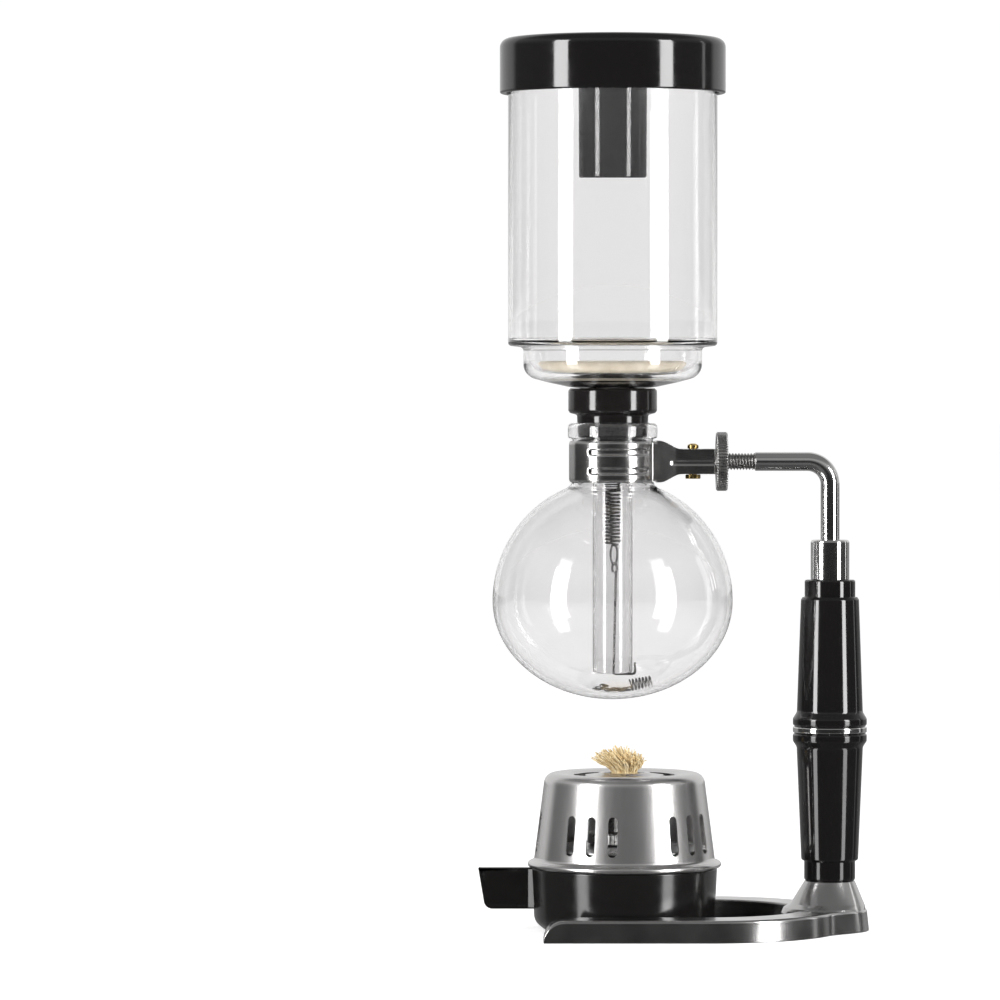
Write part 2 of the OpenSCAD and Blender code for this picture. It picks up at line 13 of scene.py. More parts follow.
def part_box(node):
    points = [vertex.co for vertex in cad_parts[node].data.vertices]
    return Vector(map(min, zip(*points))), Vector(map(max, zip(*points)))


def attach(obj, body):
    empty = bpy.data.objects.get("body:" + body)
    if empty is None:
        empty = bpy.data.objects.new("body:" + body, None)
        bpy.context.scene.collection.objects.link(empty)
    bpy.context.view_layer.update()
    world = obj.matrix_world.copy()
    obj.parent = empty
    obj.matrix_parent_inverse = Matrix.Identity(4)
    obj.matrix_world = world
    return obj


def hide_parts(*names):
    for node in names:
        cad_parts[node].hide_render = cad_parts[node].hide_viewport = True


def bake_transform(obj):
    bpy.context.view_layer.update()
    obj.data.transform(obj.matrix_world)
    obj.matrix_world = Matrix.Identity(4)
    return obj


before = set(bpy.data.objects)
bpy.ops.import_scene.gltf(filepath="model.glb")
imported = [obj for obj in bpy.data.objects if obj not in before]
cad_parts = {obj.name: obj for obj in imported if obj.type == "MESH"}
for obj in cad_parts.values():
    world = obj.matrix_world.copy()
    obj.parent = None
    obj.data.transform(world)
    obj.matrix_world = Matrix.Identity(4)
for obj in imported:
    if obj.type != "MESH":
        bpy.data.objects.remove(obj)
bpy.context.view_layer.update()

MM = 0.001


def span(node):
    """Lowest and highest corner of a CAD node, in millimetres."""
    low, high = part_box(node)
    return Vector(low) / MM, Vector(high) / MM


def middle(node):
    low, high = span(node)
    return (low + high) / 2


STEM = middle("upper_bowl")
POST = middle("handle_ring")
BURNER = middle("wick")
ROD_Z = middle("clamp_nut").z


# ------------------------------------------------------------------ outlines

def arc(cx, cz, radius, start, end, steps=8):
    """Points of an arc, angles in degrees."""
    turns = [math.radians(start + (end - start) * i / steps) for i in range(steps + 1)]
    return [(cx + radius * math.cos(a), cz + radius * math.sin(a)) for a in turns]


def rounded(corners, closed=False, steps=7):
    """Outline through (x, z, radius) corners. Each corner is an arc, held flat just before and after it."""
    count = len(corners)
    points = []
    for i, corner in enumerate(corners):
        here = Vector(corner[:2])
        radius = corner[2] if len(corner) > 2 else 0
        if radius == 0 or (not closed and i in (0, count - 1)):
            points.append(tuple(here))
            continue
        before = Vector(corners[i - 1][:2]) - here
        after = Vector(corners[(i + 1) % count][:2]) - here
        half = before.angle(after) / 2
        if half > math.radians(89.5):
            points.append(tuple(here))
            continue
        reach = min(radius / math.tan(half), before.length * 0.48, after.length * 0.48)
        radius = reach * math.tan(half)
        start = here + before.normalized() * reach
        end = here + after.normalized() * reach
        centre = here + (before.normalized() + after.normalized()).normalized() * (radius / math.sin(half))
        lead = min(0.12 * reach + 0.05, before.length * 0.02 + 0.02)
        tail = min(0.12 * reach + 0.05, after.length * 0.02 + 0.02)
        points.append(tuple(start + before.normalized() * lead))
        first = start - centre
        sweep = first.angle_signed(end - centre)
        for k in range(steps + 1):
            points.append(tuple(centre + Matrix.Rotation(-sweep * k / steps, 2) @ first))
        points.append(tuple(end + after.normalized() * tail))
    return points


def ease(t):
    """0 up to 1 with a smooth start and end, and flat beyond them."""
    t = max(0.0, min(1.0, t))
    return t * t * (3 - 2 * t)


def bump_window(value, centre, half, edge):
    """1 at the centre, falling smoothly to 0 over the edge, which ends at centre +- half."""
    return ease((half - abs(value - centre)) / edge)


def running_lengths(line):
    """Length along a line of points, at each of its points."""
    lengths = [0.0]
    for before, after in zip(line, line[1:]):
        lengths.append(lengths[-1] + (after - before).length)
    return lengths


# ------------------------------------------------------------------ mesh building

def smooth(mesh, sharp=38):
    mesh.shade_smooth()
    mesh.set_sharp_from_angle(angle=math.radians(sharp))


def new_piece(name, bm, sharp=38):
    bmesh.ops.recalc_face_normals(bm, faces=bm.faces)
    mesh = bpy.data.meshes.new(name)
    bm.to_mesh(mesh)
    bm.free()
    smooth(mesh, sharp)
    piece = bpy.data.objects.new(name, mesh)
    bpy.context.scene.collection.objects.link(piece)
    return piece


def grid_faces(bm, rows, wrap_rows=False, wrap_columns=False):
    """Quads between rows of vertices."""
    row_count, column_count = len(rows), len(rows[0])
    for i in range(row_count if wrap_rows else row_count - 1):
        for j in range(column_count if wrap_columns else column_count - 1):
            corners = [
                rows[i][j],
                rows[i][(j + 1) % column_count],
                rows[(i + 1) % row_count][(j + 1) % column_count],
                rows[(i + 1) % row_count][j],
            ]
            distinct = list(dict.fromkeys(corners))
            if len(distinct) > 2:
                bm.faces.new(distinct)


def lathe(name, outline, axis, closed=True, segments=144, shape=None, along_x=False, sharp=38):
    """Turns an outline of (radius, height) about a vertical axis, or about a line along X.

    shape(radius, height, angle) may change the radius, for knurls and ribs."""
    bm = bmesh.new()
    rows = []
    for k in range(segments):
        a = 2 * math.pi * k / segments
        row = []
        for radius, height in outline:
            r = shape(radius, height, a) if shape else radius
            if along_x:
                place = (height, axis.y + r * math.cos(a), axis.z + r * math.sin(a))
            else:
                place = (axis.x + r * math.cos(a), axis.y + r * math.sin(a), height)
            row.append(bm.verts.new(Vector(place) * MM))
        rows.append(row)
    grid_faces(bm, rows, wrap_rows=True, wrap_columns=closed)
    on_axis = [j for j, (radius, _) in enumerate(outline) if abs(radius) < 1e-6]
    poles = [row[j] for j in on_axis for row in rows]
    if poles:
        bmesh.ops.remove_doubles(bm, verts=poles, dist=1e-7)
    return new_piece(name, bm, sharp)


def tube(name, points, radius, sides=12, closed=False, sharp=38):
    """Round tube along points in millimetres, with flat ends."""
    bm = bmesh.new()
    add_tube(bm, points, radius, sides, closed)
    return new_piece(name, bm, sharp)


def add_tube(bm, points, radius, sides=12, closed=False, taper=None):
    points = [Vector(p) for p in points]
    count = len(points)
    rows = []
    normal = None
    for i, p in enumerate(points):
        if closed:
            along = points[(i + 1) % count] - points[i - 1]
        else:
            along = points[min(i + 1, count - 1)] - points[max(i - 1, 0)]
        along.normalize()
        if normal is None:
            helper = Vector((0, 0, 1)) if abs(along.z) < 0.9 else Vector((1, 0, 0))
            normal = along.cross(helper).normalized()
        normal = (normal - along * normal.dot(along)).normalized()
        side = along.cross(normal)
        r = radius * (taper(i / max(count - 1, 1)) if taper else 1)
        row = []
        for k in range(sides):
            a = 2 * math.pi * k / sides
            row.append(bm.verts.new((p + (normal * math.cos(a) + side * math.sin(a)) * r) * MM))
        rows.append(row)
    grid_faces(bm, rows, wrap_rows=closed, wrap_columns=True)
    if not closed:
        bm.faces.new(rows[0])
        bm.faces.new(rows[-1])


def bend_path(corners, step=1.0):
    """Points along straight lines joined by arcs, from (x, y, z, radius) corners."""
    path = []
    for i, corner in enumerate(corners):
        here = Vector(corner[:3])
        radius = corner[3] if len(corner) > 3 else 0
        if radius == 0:
            path.append(here)
            continue
        before = (Vector(corners[i - 1][:3]) - here).normalized()
        after = (Vector(corners[i + 1][:3]) - here).normalized()
        half = before.angle(after) / 2
        reach = radius / math.tan(half)
        centre = here + (before + after).normalized() * (radius / math.sin(half))
        first = here + before * reach - centre
        last = here + after * reach - centre
        turn = first.angle(last)
        spin = first.cross(last)
        steps = max(4, round(turn * radius / step))
        path += [centre + Matrix.Rotation(turn * k / steps, 3, spin) @ first for k in range(steps + 1)]
    return path


def helix(centre, radius, low, high, turns, per_turn, along=Vector((0, 0, 1))):
    """Points of a coil that runs from low to high along a direction."""
    helper = Vector((1, 0, 0)) if abs(along.x) < 0.9 else Vector((0, 1, 0))
    side = along.cross(helper).normalized()
    up = along.cross(side)
    count = round(turns * per_turn)
    path = []
    for k in range(count + 1):
        a = 2 * math.pi * k / per_turn
        path.append(centre + along * (low + (high - low) * k / count)
                    + (side * math.cos(a) + up * math.sin(a)) * radius)
    return path


def extruded(name, outline, place, depth, bevel, inset=0.0, recess=0.0):
    """Plate of an outline: place(u, v, w) gives a point from the outline's u, v and the depth's w."""
    bm = bmesh.new()
    low = [bm.verts.new(Vector(place(u, v, -depth / 2)) * MM) for u, v in outline]
    high = [bm.verts.new(Vector(place(u, v, depth / 2)) * MM) for u, v in outline]
    ends = [bm.faces.new(low), bm.faces.new(high)]
    count = len(outline)
    for i in range(count):
        bm.faces.new([low[i], low[(i + 1) % count], high[(i + 1) % count], high[i]])
    bmesh.ops.recalc_face_normals(bm, faces=bm.faces)
    if inset:
        bmesh.ops.inset_individual(bm, faces=ends, thickness=inset * MM, depth=0)
        bmesh.ops.inset_individual(bm, faces=ends, thickness=recess * MM, depth=-recess * MM)
    piece = new_piece(name, bm, 30)
    add_bevel(piece, bevel)
    return piece


def add_bevel(piece, width, segments=3, angle=35):
    bevel = piece.modifiers.new("edge", "BEVEL")
    bevel.width = width * MM
    bevel.segments = segments
    bevel.limit_method = "ANGLE"
    bevel.angle_limit = math.radians(angle)
    bevel.harden_normals = True


def finish_piece(piece, material, body, slot, *nodes):
    """Gives a piece its material and its body, and hides the CAD nodes that it stands for. The slot argument
    is not used.
    """
    piece.data.materials.clear()
    piece.data.materials.append(material)
    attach(piece, body)
    if nodes:
        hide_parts(*nodes)
    return piece


# ------------------------------------------------------------------ materials

def shader(name, colour, metallic=0.0, roughness=0.4, ior=1.5, coat=0.0, transmission=0.0, specular=0.5):
    """A Principled material, and the handles that the finishing functions need."""
    material = bpy.data.materials.new(name)
    material.use_nodes = True
    tree = material.node_tree
    bsdf = tree.nodes["Principled BSDF"]
    bsdf.inputs["Base Color"].default_value = (*colour, 1)
    bsdf.inputs["Metallic"].default_value = metallic
    bsdf.inputs["Roughness"].default_value = roughness
    bsdf.inputs["IOR"].default_value = ior
    bsdf.inputs["Coat Weight"].default_value = coat
    bsdf.inputs["Coat Roughness"].default_value = 0.04
    bsdf.inputs["Transmission Weight"].default_value = transmission
    bsdf.inputs["Specular IOR Level"].default_value = specular
    return material, tree, bsdf


def noise(tree, scale, detail, stretch=(1, 1, 1)):
    """A noise texture in the frame's own space, scale in features a metre."""
    coordinates = tree.nodes.new("ShaderNodeTexCoord")
    mapping = tree.nodes.new("ShaderNodeMapping")
    mapping.inputs["Scale"].default_value = stretch
    texture = tree.nodes.new("ShaderNodeTexNoise")
    texture.inputs["Scale"].default_value = scale
    texture.inputs["Detail"].default_value = detail
    texture.inputs["Roughness"].default_value = 0.5
    tree.links.new(coordinates.outputs["Object"], mapping.inputs["Vector"])
    tree.links.new(mapping.outputs["Vector"], texture.inputs["Vector"])
    return texture.outputs["Fac"]


def vary(tree, source, target, low, high):
    """Sets a number socket from the middle range of a texture."""
    spread = tree.nodes.new("ShaderNodeMapRange")
    spread.inputs["From Min"].default_value = 0.3
    spread.inputs["From Max"].default_value = 0.7
    spread.inputs["To Min"].default_value = low
    spread.inputs["To Max"].default_value = high
    tree.links.new(source, spread.inputs["Value"])
    tree.links.new(spread.outputs["Result"], target)


def tint(tree, source, bsdf, stops):
    """Sets the base colour from a texture through colour stops (place, colour)."""
    ramp = tree.nodes.new("ShaderNodeValToRGB")
    elements = ramp.color_ramp.elements
    while len(elements) < len(stops):
        elements.new(0.5)
    for element, (place, colour) in zip(elements, stops):
        element.position = place
        element.color = (*colour, 1)
    tree.links.new(source, ramp.inputs["Fac"])
    tree.links.new(ramp.outputs["Color"], bsdf.inputs["Base Color"])


def relief(tree, source, bsdf, strength, distance_mm):
    """Adds a bump from a texture."""
    bump = tree.nodes.new("ShaderNodeBump")
    bump.inputs["Strength"].default_value = strength
    bump.inputs["Distance"].default_value = distance_mm * MM
    previous = bsdf.inputs["Normal"].links
    if previous:
        tree.links.new(previous[0].from_socket, bump.inputs["Normal"])
    tree.links.new(source, bump.inputs["Height"])
    tree.links.new(bump.outputs["Normal"], bsdf.inputs["Normal"])


def surface(name, colour, rough=None, tints=None, bumps=None, sheen=0.0, **base):
    """A procedural material.

    rough is (noise, low, high), tints is (noise, colour stops), and bumps is (noise, strength, millimetres).
    A noise is its scale and its detail, and then its stretch if it has one."""
    material, tree, bsdf = shader(name, colour, **base)
    if rough:
        vary(tree, noise(tree, *rough[0]), bsdf.inputs["Roughness"], *rough[1:])
    if tints:
        tint(tree, noise(tree, *tints[0]), bsdf, tints[1])
    if bumps:
        relief(tree, noise(tree, *bumps[0]), bsdf, *bumps[1:])
    bsdf.inputs["Sheen Weight"].default_value = sheen
    return material


CHROME = surface(
    "chrome_plate", (0.74, 0.735, 0.73), metallic=1, roughness=0.1, rough=((90, 4), 0.075, 0.12),
    tints=((25, 2), [(0.3, (0.70, 0.695, 0.69)), (0.7, (0.78, 0.775, 0.77))]), bumps=((45, 1), 0.05, 0.03))
# Plating over the cast base, softer and darker than on drawn parts.
CAST_CHROME = surface(
    "cast_chrome", (0.5, 0.495, 0.49), metallic=1, roughness=0.19, rough=((80, 4), 0.15, 0.23),
    tints=((20, 2), [(0.3, (0.46, 0.455, 0.45)), (0.7, (0.54, 0.535, 0.53))]), bumps=((45, 1), 0.05, 0.03))
# Plating on the clamp's pressed sheet.
SHEET_CHROME = surface(
    "pressed_chrome", (0.5, 0.495, 0.49), metallic=1, roughness=0.17, rough=((120, 4), 0.14, 0.22),
    tints=((40, 2), [(0.3, (0.47, 0.465, 0.46)), (0.7, (0.53, 0.525, 0.52))]), bumps=((60, 1), 0.06, 0.03))
SATIN_STEEL = surface(
    "satin_steel", (0.42, 0.415, 0.41), metallic=1, roughness=0.3, rough=((700, 3), 0.22, 0.4),
    bumps=((1500, 2, (6, 1, 1)), 0.3, 0.03))
STAINLESS = surface(
    "stainless", (0.66, 0.65, 0.645), metallic=1, roughness=0.25,
    rough=((900, 2, (1, 1, 0.08)), 0.235, 0.265),
    tints=((30, 2), [(0.2, (0.63, 0.62, 0.615)), (0.8, (0.68, 0.67, 0.665))]),
    bumps=((1100, 2, (1, 1, 0.06)), 0.05, 0.01))
WIRE = surface("drawn_wire", (0.2, 0.195, 0.19), metallic=1, roughness=0.28, rough=((900, 2), 0.16, 0.32))
TANK = surface(
    "tank_metal", (0.5, 0.5, 0.5), metallic=1, roughness=0.3, rough=((200, 4), 0.24, 0.4),
    bumps=((400, 2, (1, 1, 20)), 0.2, 0.03))
BRASS = surface(
    "brass", (0.62, 0.44, 0.17), metallic=1, roughness=0.2, rough=((1200, 2), 0.14, 0.34),
    tints=((900, 3), [(0.3, (0.5, 0.34, 0.11)), (0.7, (0.7, 0.52, 0.22))]))
DARK_STEEL = surface(
    "dark_steel", (0.05, 0.05, 0.05), metallic=1, roughness=0.35, rough=((900, 3), 0.28, 0.45))
GLOSS_BLACK = surface(
    "gloss_black", (0.006, 0.0055, 0.0055), roughness=0.09, rough=((120, 4), 0.06, 0.12),
    bumps=((60, 1), 0.04, 0.03))
SATIN_BLACK = surface(
    "satin_black", (0.007, 0.0065, 0.0063), roughness=0.16, rough=((300, 4), 0.12, 0.2),
    bumps=((300, 2), 0.05, 0.02))
SILICONE = surface(
    "silicone", (0.008, 0.0072, 0.007), roughness=0.12, rough=((400, 3), 0.09, 0.15),
    bumps=((250, 2), 0.05, 0.02))
GLASS = surface(
    "clear_glass", (0.93, 0.926, 0.928), roughness=0.0, ior=1.36, coat=0.6, transmission=1,
    bumps=((22, 1), 0.25, 0.08))
FLANNEL = surface(
    "flannel", (0.72, 0.64, 0.5), roughness=0.95, specular=0.15, sheen=0.3,
    tints=((260, 5), [(0.25, (0.62, 0.54, 0.4)), (0.75, (0.8, 0.72, 0.58))]), bumps=((1600, 4), 0.6, 0.25))
COTTON = surface(
    "cotton", (0.83, 0.68, 0.42), roughness=0.85, specular=0.2, sheen=0.25,
    tints=((420, 4), [(0.2, (0.62, 0.43, 0.19)), (0.5, (0.82, 0.66, 0.38)), (0.8, (0.93, 0.84, 0.64))]),
    bumps=((3000, 3), 0.4, 0.1))


# ------------------------------------------------------------------ stand

ARM_H = 8.4
DRAFT = 0.3


def build_base():
    """The horseshoe: a rounded section swept along both arms and round the curve, and the pedestal on it."""
    low, high = span("base")
    half_width = high.y
    reach_x = high.x
    foot = reach_x - POST.x
    centre_x = POST.x - 47
    gap_r = half_width - 14.9
    nose = reach_x - centre_x - half_width
    nose_angle = math.radians(28)
    tip_round = 8
    tip_x = low.x

    def stations():
        """Inner point, outer point, height and draft of each section, from one tip round to the other."""
        rows = []
        straight = [0.02, 0.25, 0.6, 1.1, 1.7, 2.4, 3.2, 4.1, 5.1, 6.2, 7.2, 8, 9, 12, 18, 26, 36, 46, 54]
        for d in straight:
            x = tip_x + d
            if x >= centre_x - 1:
                break
            drop = tip_round - math.sqrt(tip_round ** 2 - max(0, tip_round - d) ** 2)
            rows.append((Vector((x, -gap_r)), Vector((x, -half_width)), ARM_H - drop, 0.0))
        turns = 96
        for k in range(turns + 1):
            a = math.radians(-90 + 180 * k / turns)
            t = min(1.0, abs(a) / nose_angle)
            grow = nose * math.cos(math.pi / 2 * t) ** 2
            out = Vector((math.cos(a), math.sin(a)))
            centre = Vector((centre_x, 0))
            rows.append((centre + out * gap_r, centre + out * (half_width + grow), ARM_H, 0.6 * grow / nose))
        for inner, outer, height, draft in reversed(rows[:len(rows) - turns - 1]):
            rows.append((Vector((inner.x, -inner.y)), Vector((outer.x, -outer.y)), height, draft))
        return rows

    bm = bmesh.new()
    rings = []
    for inner, outer, height, draft in stations():
        width = (outer - inner).length
        across = (outer - inner) / width
        lean = (DRAFT + draft) * height / ARM_H
        section = rounded([
            (0, 0, 0.3), (width, 0, 0.35), (width - lean, height, min(1.1, height * 0.3)),
            (0.25 * height / ARM_H, height, min(0.9, height * 0.3))], closed=True, steps=5)
        ring = []
        for u, v in section:
            point = inner + across * u
            ring.append(bm.verts.new(Vector((point.x, point.y, v)) * MM))
        rings.append(ring)
    grid_faces(bm, rings, wrap_columns=True)
    bm.faces.new(rings[0])
    bm.faces.new(rings[-1])
    shoe = new_piece("base_shoe", bm)
    finish_piece(shoe, CAST_CHROME, "stand", "chrome", "base")

    pedestal_top = high.z
    outline = rounded([
        (0, 0.3), (foot - 0.9, 0.3), (13.75, 6.5, 4), (13.3, 9.6, 6), (9.5, pedestal_top, 0.35),
        (5, pedestal_top), (0, pedestal_top)], steps=6)

    def flare(radius, height, angle):
        """Spreads the cone's foot towards the arms, and not towards the nose."""
        side = 0.5 - 0.5 * math.cos(angle)
        skirt = max(0.0, 1 - (height - ARM_H) / 7.0) if height > ARM_H else 1
        return radius + 4.6 * side * skirt ** 3 * (radius > 6)

    pedestal = lathe("base_pedestal", outline, POST, closed=False, segments=160, shape=flare)
    finish_piece(pedestal, CAST_CHROME, "stand", "chrome")


def build_handle():
    bore = 3.7
    low = span("handle_lower")[0].z
    ring_low, ring_high = (end.z for end in span("handle_ring"))
    top = span("handle_upper")[1].z
    lower = rounded([
        (bore, low), (9.6, low, 1.0), (9.6, low + 7.4, 0.25), (10.7, low + 7.9, 0.9), (12.45, 69.2, 2.5),
        (13.9, 71.4, 1.6), (13.9, ring_low - 0.9, 0.5), (13.2, ring_low), (bore, ring_low)])
    upper = rounded([
        (bore, ring_high), (13.2, ring_high), (13.9, ring_high + 0.9, 0.5), (13.9, 79.9, 1.6),
        (12.4, 82.3, 2.5), (10.9, 124.6, 0.6), (10.3, 125.5, 0.2), (9.5, 125.5, 0.2), (9.5, top, 0.7),
        (bore, top)])
    ring = rounded([
        (bore, ring_low), (13.9, ring_low, 0.4), (13.9, ring_high, 0.4), (bore, ring_high)], steps=4)
    ferrule_low, ferrule_high = (end.z for end in span("handle_ferrule"))
    ferrule = rounded([
        (bore, ferrule_low), (7.25, ferrule_low, 0.3), (7.25, ferrule_high, 0.9), (bore, ferrule_high)])
    for name, outline, material, slot, node in (
            ("handle_lower_shell", lower, GLOSS_BLACK, "gloss_black", "handle_lower"),
            ("handle_upper_shell", upper, GLOSS_BLACK, "gloss_black", "handle_upper"),
            ("handle_ring_band", ring, CHROME, "chrome", "handle_ring"),
            ("handle_ferrule_sleeve", ferrule, CHROME, "chrome", "handle_ferrule")):
        finish_piece(lathe(name, outline, POST), material, "stand", slot, node)


ROD_R = 3.55
THREAD_R = 3.2
THREAD_PITCH = 1.15
BEND_R = 8.5


def build_rod():
    thread_low = STEM.x + 34.5
    thread_high = STEM.x + 53.5
    path = bend_path([
        (POST.x, 0, span("stand_rod")[0].z), (POST.x, 0, ROD_Z, BEND_R), (thread_high, 0, ROD_Z)], 0.5)
    lead_in = [path[0], path[0].lerp(path[1], 0.97)]
    lead_out = [path[-1].lerp(path[-2], 0.97), path[-1]]
    rod = tube("rod_shaft", lead_in + path[1:-1] + lead_out, ROD_R, sides=48)
    add_bevel(rod, 0.3)
    finish_piece(rod, CHROME, "stand", "chrome", "stand_rod")

    depth = 0.62
    steps = round((thread_high - thread_low) / THREAD_PITCH * 14)
    outline = [(0, thread_low)]
    for k in range(steps + 1):
        outline.append((THREAD_R, thread_low + (thread_high - thread_low) * k / steps))
    outline.append((0, thread_high))

    def groove(radius, height, angle):
        """Cuts a rounded V that winds along the rod."""
        if radius < 1:
            return radius
        phase = ((height - thread_low) / THREAD_PITCH - angle / (2 * math.pi)) % 1
        v = abs(phase - 0.5) * 2
        fade = min(1.0, (height - thread_low) / 0.6, (thread_high - height) / 0.6)
        return radius - depth * min(1.0, max(0.0, 1.25 * (1 - v) - 0.12)) * max(0.0, fade)

    thread = lathe("rod_thread", outline, Vector((0, 0, ROD_Z)), closed=False, segments=72,
                   shape=groove, along_x=True, sharp=60)
    finish_piece(thread, SATIN_STEEL, "stand", "satin_steel")

    pivot_x = middle("pivot_screw").x
    eye_bore, eye_r = 1.55, 3.5
    eye_low, eye_high = ROD_Z - 2.7, ROD_Z + 2.7
    eye = rounded([(eye_bore, eye_low), (eye_r, eye_low, 0.4), (eye_r, eye_high, 0.4), (eye_bore, eye_high)])
    finish_piece(lathe("rod_eye", eye, Vector((pivot_x, 0, 0)), segments=64), CHROME, "stand", "chrome")
    neck = tube("rod_neck", [(pivot_x + 2.2, 0, ROD_Z), (thread_low + 0.1, 0, ROD_Z)], 2.6, sides=32)
    finish_piece(neck, CHROME, "stand", "chrome")


# ------------------------------------------------------------------ clamp

def build_clamp():
    band_mid = 16.05
    sheet = 0.7
    half_full, half_tip = 7.8, 4.7
    band_end = -28

    def plan():
        """Middle line of the sheet, evenly spaced: round the neck, then out along the tail."""
        turn = arc(0, 0, band_mid, -179, band_end - 3, 100)
        a = math.radians(band_end)
        tail = rounded([turn[-1], (band_mid * math.cos(a) + 0.3, band_mid * math.sin(a) + 0.5, 1.0),
                        (17.5, -6.3, 0.8), (24, -4.8, 5), (38.3, -4.8)], steps=8)
        raw = [Vector(p) for p in turn + tail[1:]]
        lengths = running_lengths(raw)
        count = 230
        even, j = [], 0
        for k in range(count + 1):
            want = lengths[-1] * k / count
            while j < len(raw) - 2 and lengths[j + 1] < want:
                j += 1
            share = (want - lengths[j]) / max(lengths[j + 1] - lengths[j], 1e-9)
            even.append(raw[j].lerp(raw[j + 1], share))
        return even

    def half_height(x):
        """Half the sheet's height: full round the neck, narrowing along the tail."""
        return half_full + (half_tip - half_full) * ease((x - 17.6) / 8.2)

    def dent(point, up):
        """How far in the sheet is pressed at a place: two grooves, a rolled edge, and the tail's rib."""
        if point.x < 16.5:
            roll = 0.5 * max(0.0, (abs(up) - half_full + 1.3) / 1.3) ** 2
            angle = math.degrees(math.atan2(point.y, point.x))
            along = bump_window(angle, -79, 47.5, 7)
            grooves = max(bump_window(up, level, 1.55, 0.95) for level in (3.6, -3.5))
            return roll + 0.55 * along * grooves
        if point.x > 20:
            return 0.28 * bump_window(point.x, 40, 18.8, 1.4) * bump_window(up, -0.5, 1.15, 0.8)
        return 0.0

    def jaw(name, node, body, side, ear_inset):
        line = plan()
        bm = bmesh.new()
        levels = 64
        shells = []
        for offset in (sheet / 2, -sheet / 2):
            rows = []
            for i, p in enumerate(line):
                along = (line[min(i + 1, len(line) - 1)] - line[max(i - 1, 0)]).normalized()
                out = Vector((along.y, -along.x))
                half = half_height(p.x)
                row = []
                for k in range(levels + 1):
                    up = half * (2 * k / levels - 1)
                    flat = p + out * (offset - dent(p, up))
                    row.append(bm.verts.new(Vector((STEM.x + flat.x, side * flat.y, ROD_Z + up)) * MM))
                rows.append(row)
            grid_faces(bm, rows)
            shells.append(rows)
        outer, inner = shells
        grid_faces(bm, [[row[0] for row in outer], [row[0] for row in inner]])
        grid_faces(bm, [[row[-1] for row in outer], [row[-1] for row in inner]])
        grid_faces(bm, [outer[0], inner[0]])
        grid_faces(bm, [outer[-1], inner[-1]])
        band = new_piece(name, bm, 50)
        add_bevel(band, 0.16, 2, 60)
        finish_piece(band, SHEET_CHROME, body, "chrome", node)
        pivot, ear_r, ear_root = 30.2, 4, -4.9
        outline = [(pivot + ear_r, ear_root), *arc(pivot, 0, ear_r, 0, 180, 20), (pivot - ear_r, ear_root)]
        for level, z in (("top", half_tip - 0.4 - ear_inset), ("bottom", 0.4 + ear_inset - half_tip)):
            ear = extruded(f"{name}_ear_{level}", outline,
                           lambda u, v, w, z=z: (STEM.x + u, side * v, ROD_Z + z + w), 0.8, 0.15)
            finish_piece(ear, SHEET_CHROME, body, "chrome")

    jaw("jaw_front_sheet", "clamp_jaw_front", "jaw_front", 1, 0)
    jaw("jaw_back_sheet", "clamp_jaw_back", "jaw_back", -1, 0.9)

    axis = Vector((0, 0, ROD_Z))
    cone_low, cone_high = (end.x for end in span("clamp_cone"))
    cone = rounded([
        (3.28, cone_low), (3.8, cone_low, 0.15), (4.3, cone_low + 0.6, 0.2), (5, cone_low + 0.75, 0.2),
        (5, cone_high, 0.1), (3.28, cone_high)], closed=True, steps=3)
    finish_piece(lathe("pressure_cone", cone, axis, segments=64, along_x=True), SATIN_STEEL,
                 "clamp_cone", "satin_steel", "clamp_cone")

    nut_low, nut_high = (end.x for end in span("clamp_nut"))
    nut_r = 11.05
    outline = rounded([
        (3.28, nut_low), (6.4, nut_low, 0.1), (6.7, nut_low + 0.35, 0.1), (9.4, nut_low + 0.35, 0.15),
        (9.8, nut_low, 0.15), (nut_r - 0.45, nut_low, 0.2), (nut_r, nut_low + 0.5, 0.2),
        (nut_r, nut_high - 0.5, 0.2), (nut_r - 0.45, nut_high, 0.2), (9.8, nut_high, 0.15),
        (9.4, nut_high - 0.35, 0.15), (6.7, nut_high - 0.35, 0.1), (6.4, nut_high, 0.1),
        (3.28, nut_high)], closed=True, steps=3)
    teeth = 60

    def knurl(radius, height, angle):
        if radius < nut_r - 0.55:
            return radius
        wave = 0.5 + 0.5 * math.cos(teeth * angle)
        return radius - 0.5 * (1 - min(1.0, wave * 1.7)) * (radius - nut_r + 0.55) / 0.55

    nut = lathe("knurled_nut", outline, axis, segments=teeth * 10, shape=knurl, along_x=True, sharp=50)
    finish_piece(nut, SATIN_STEEL, "clamp_nut", "satin_steel", "clamp_nut")

    pivot = middle("pivot_screw")
    screw_low, screw_high = (end.z for end in span("pivot_screw"))
    head_low = screw_high - 1.9
    shape = rounded([
        (0, screw_low), (1.5, screw_low, 0.2), (1.5, head_low), (2.1, head_low, 0.15),
        (2.1, screw_high - 0.6, 0.5), (1.0, screw_high, 0.8), (0, screw_high)], steps=5)
    screw = lathe("pivot_screw_brass", shape, pivot, closed=False, segments=64)
    cutter = extruded("slot_cutter", [(-3, -0.35), (3, -0.35), (3, 0.35), (-3, 0.35)],
                      lambda u, v, w: (pivot.x + u, v, screw_high + w), 1.4, 0)
    cut_away(screw, cutter)
    finish_piece(screw, BRASS, "stand", "brass", "pivot_screw")
    hex_low, hex_high = (end.z for end in span("pivot_nut"))
    hex_mid = (hex_low + hex_high) / 2
    hexagon = arc(0, 0, 2.9, 0, 300, 5)
    hex_nut = extruded("pivot_nut_brass", hexagon, lambda u, v, w: (pivot.x + u, v, hex_mid + w),
                       hex_high - hex_low, 0.2)
    finish_piece(hex_nut, BRASS, "stand", "brass", "pivot_nut")


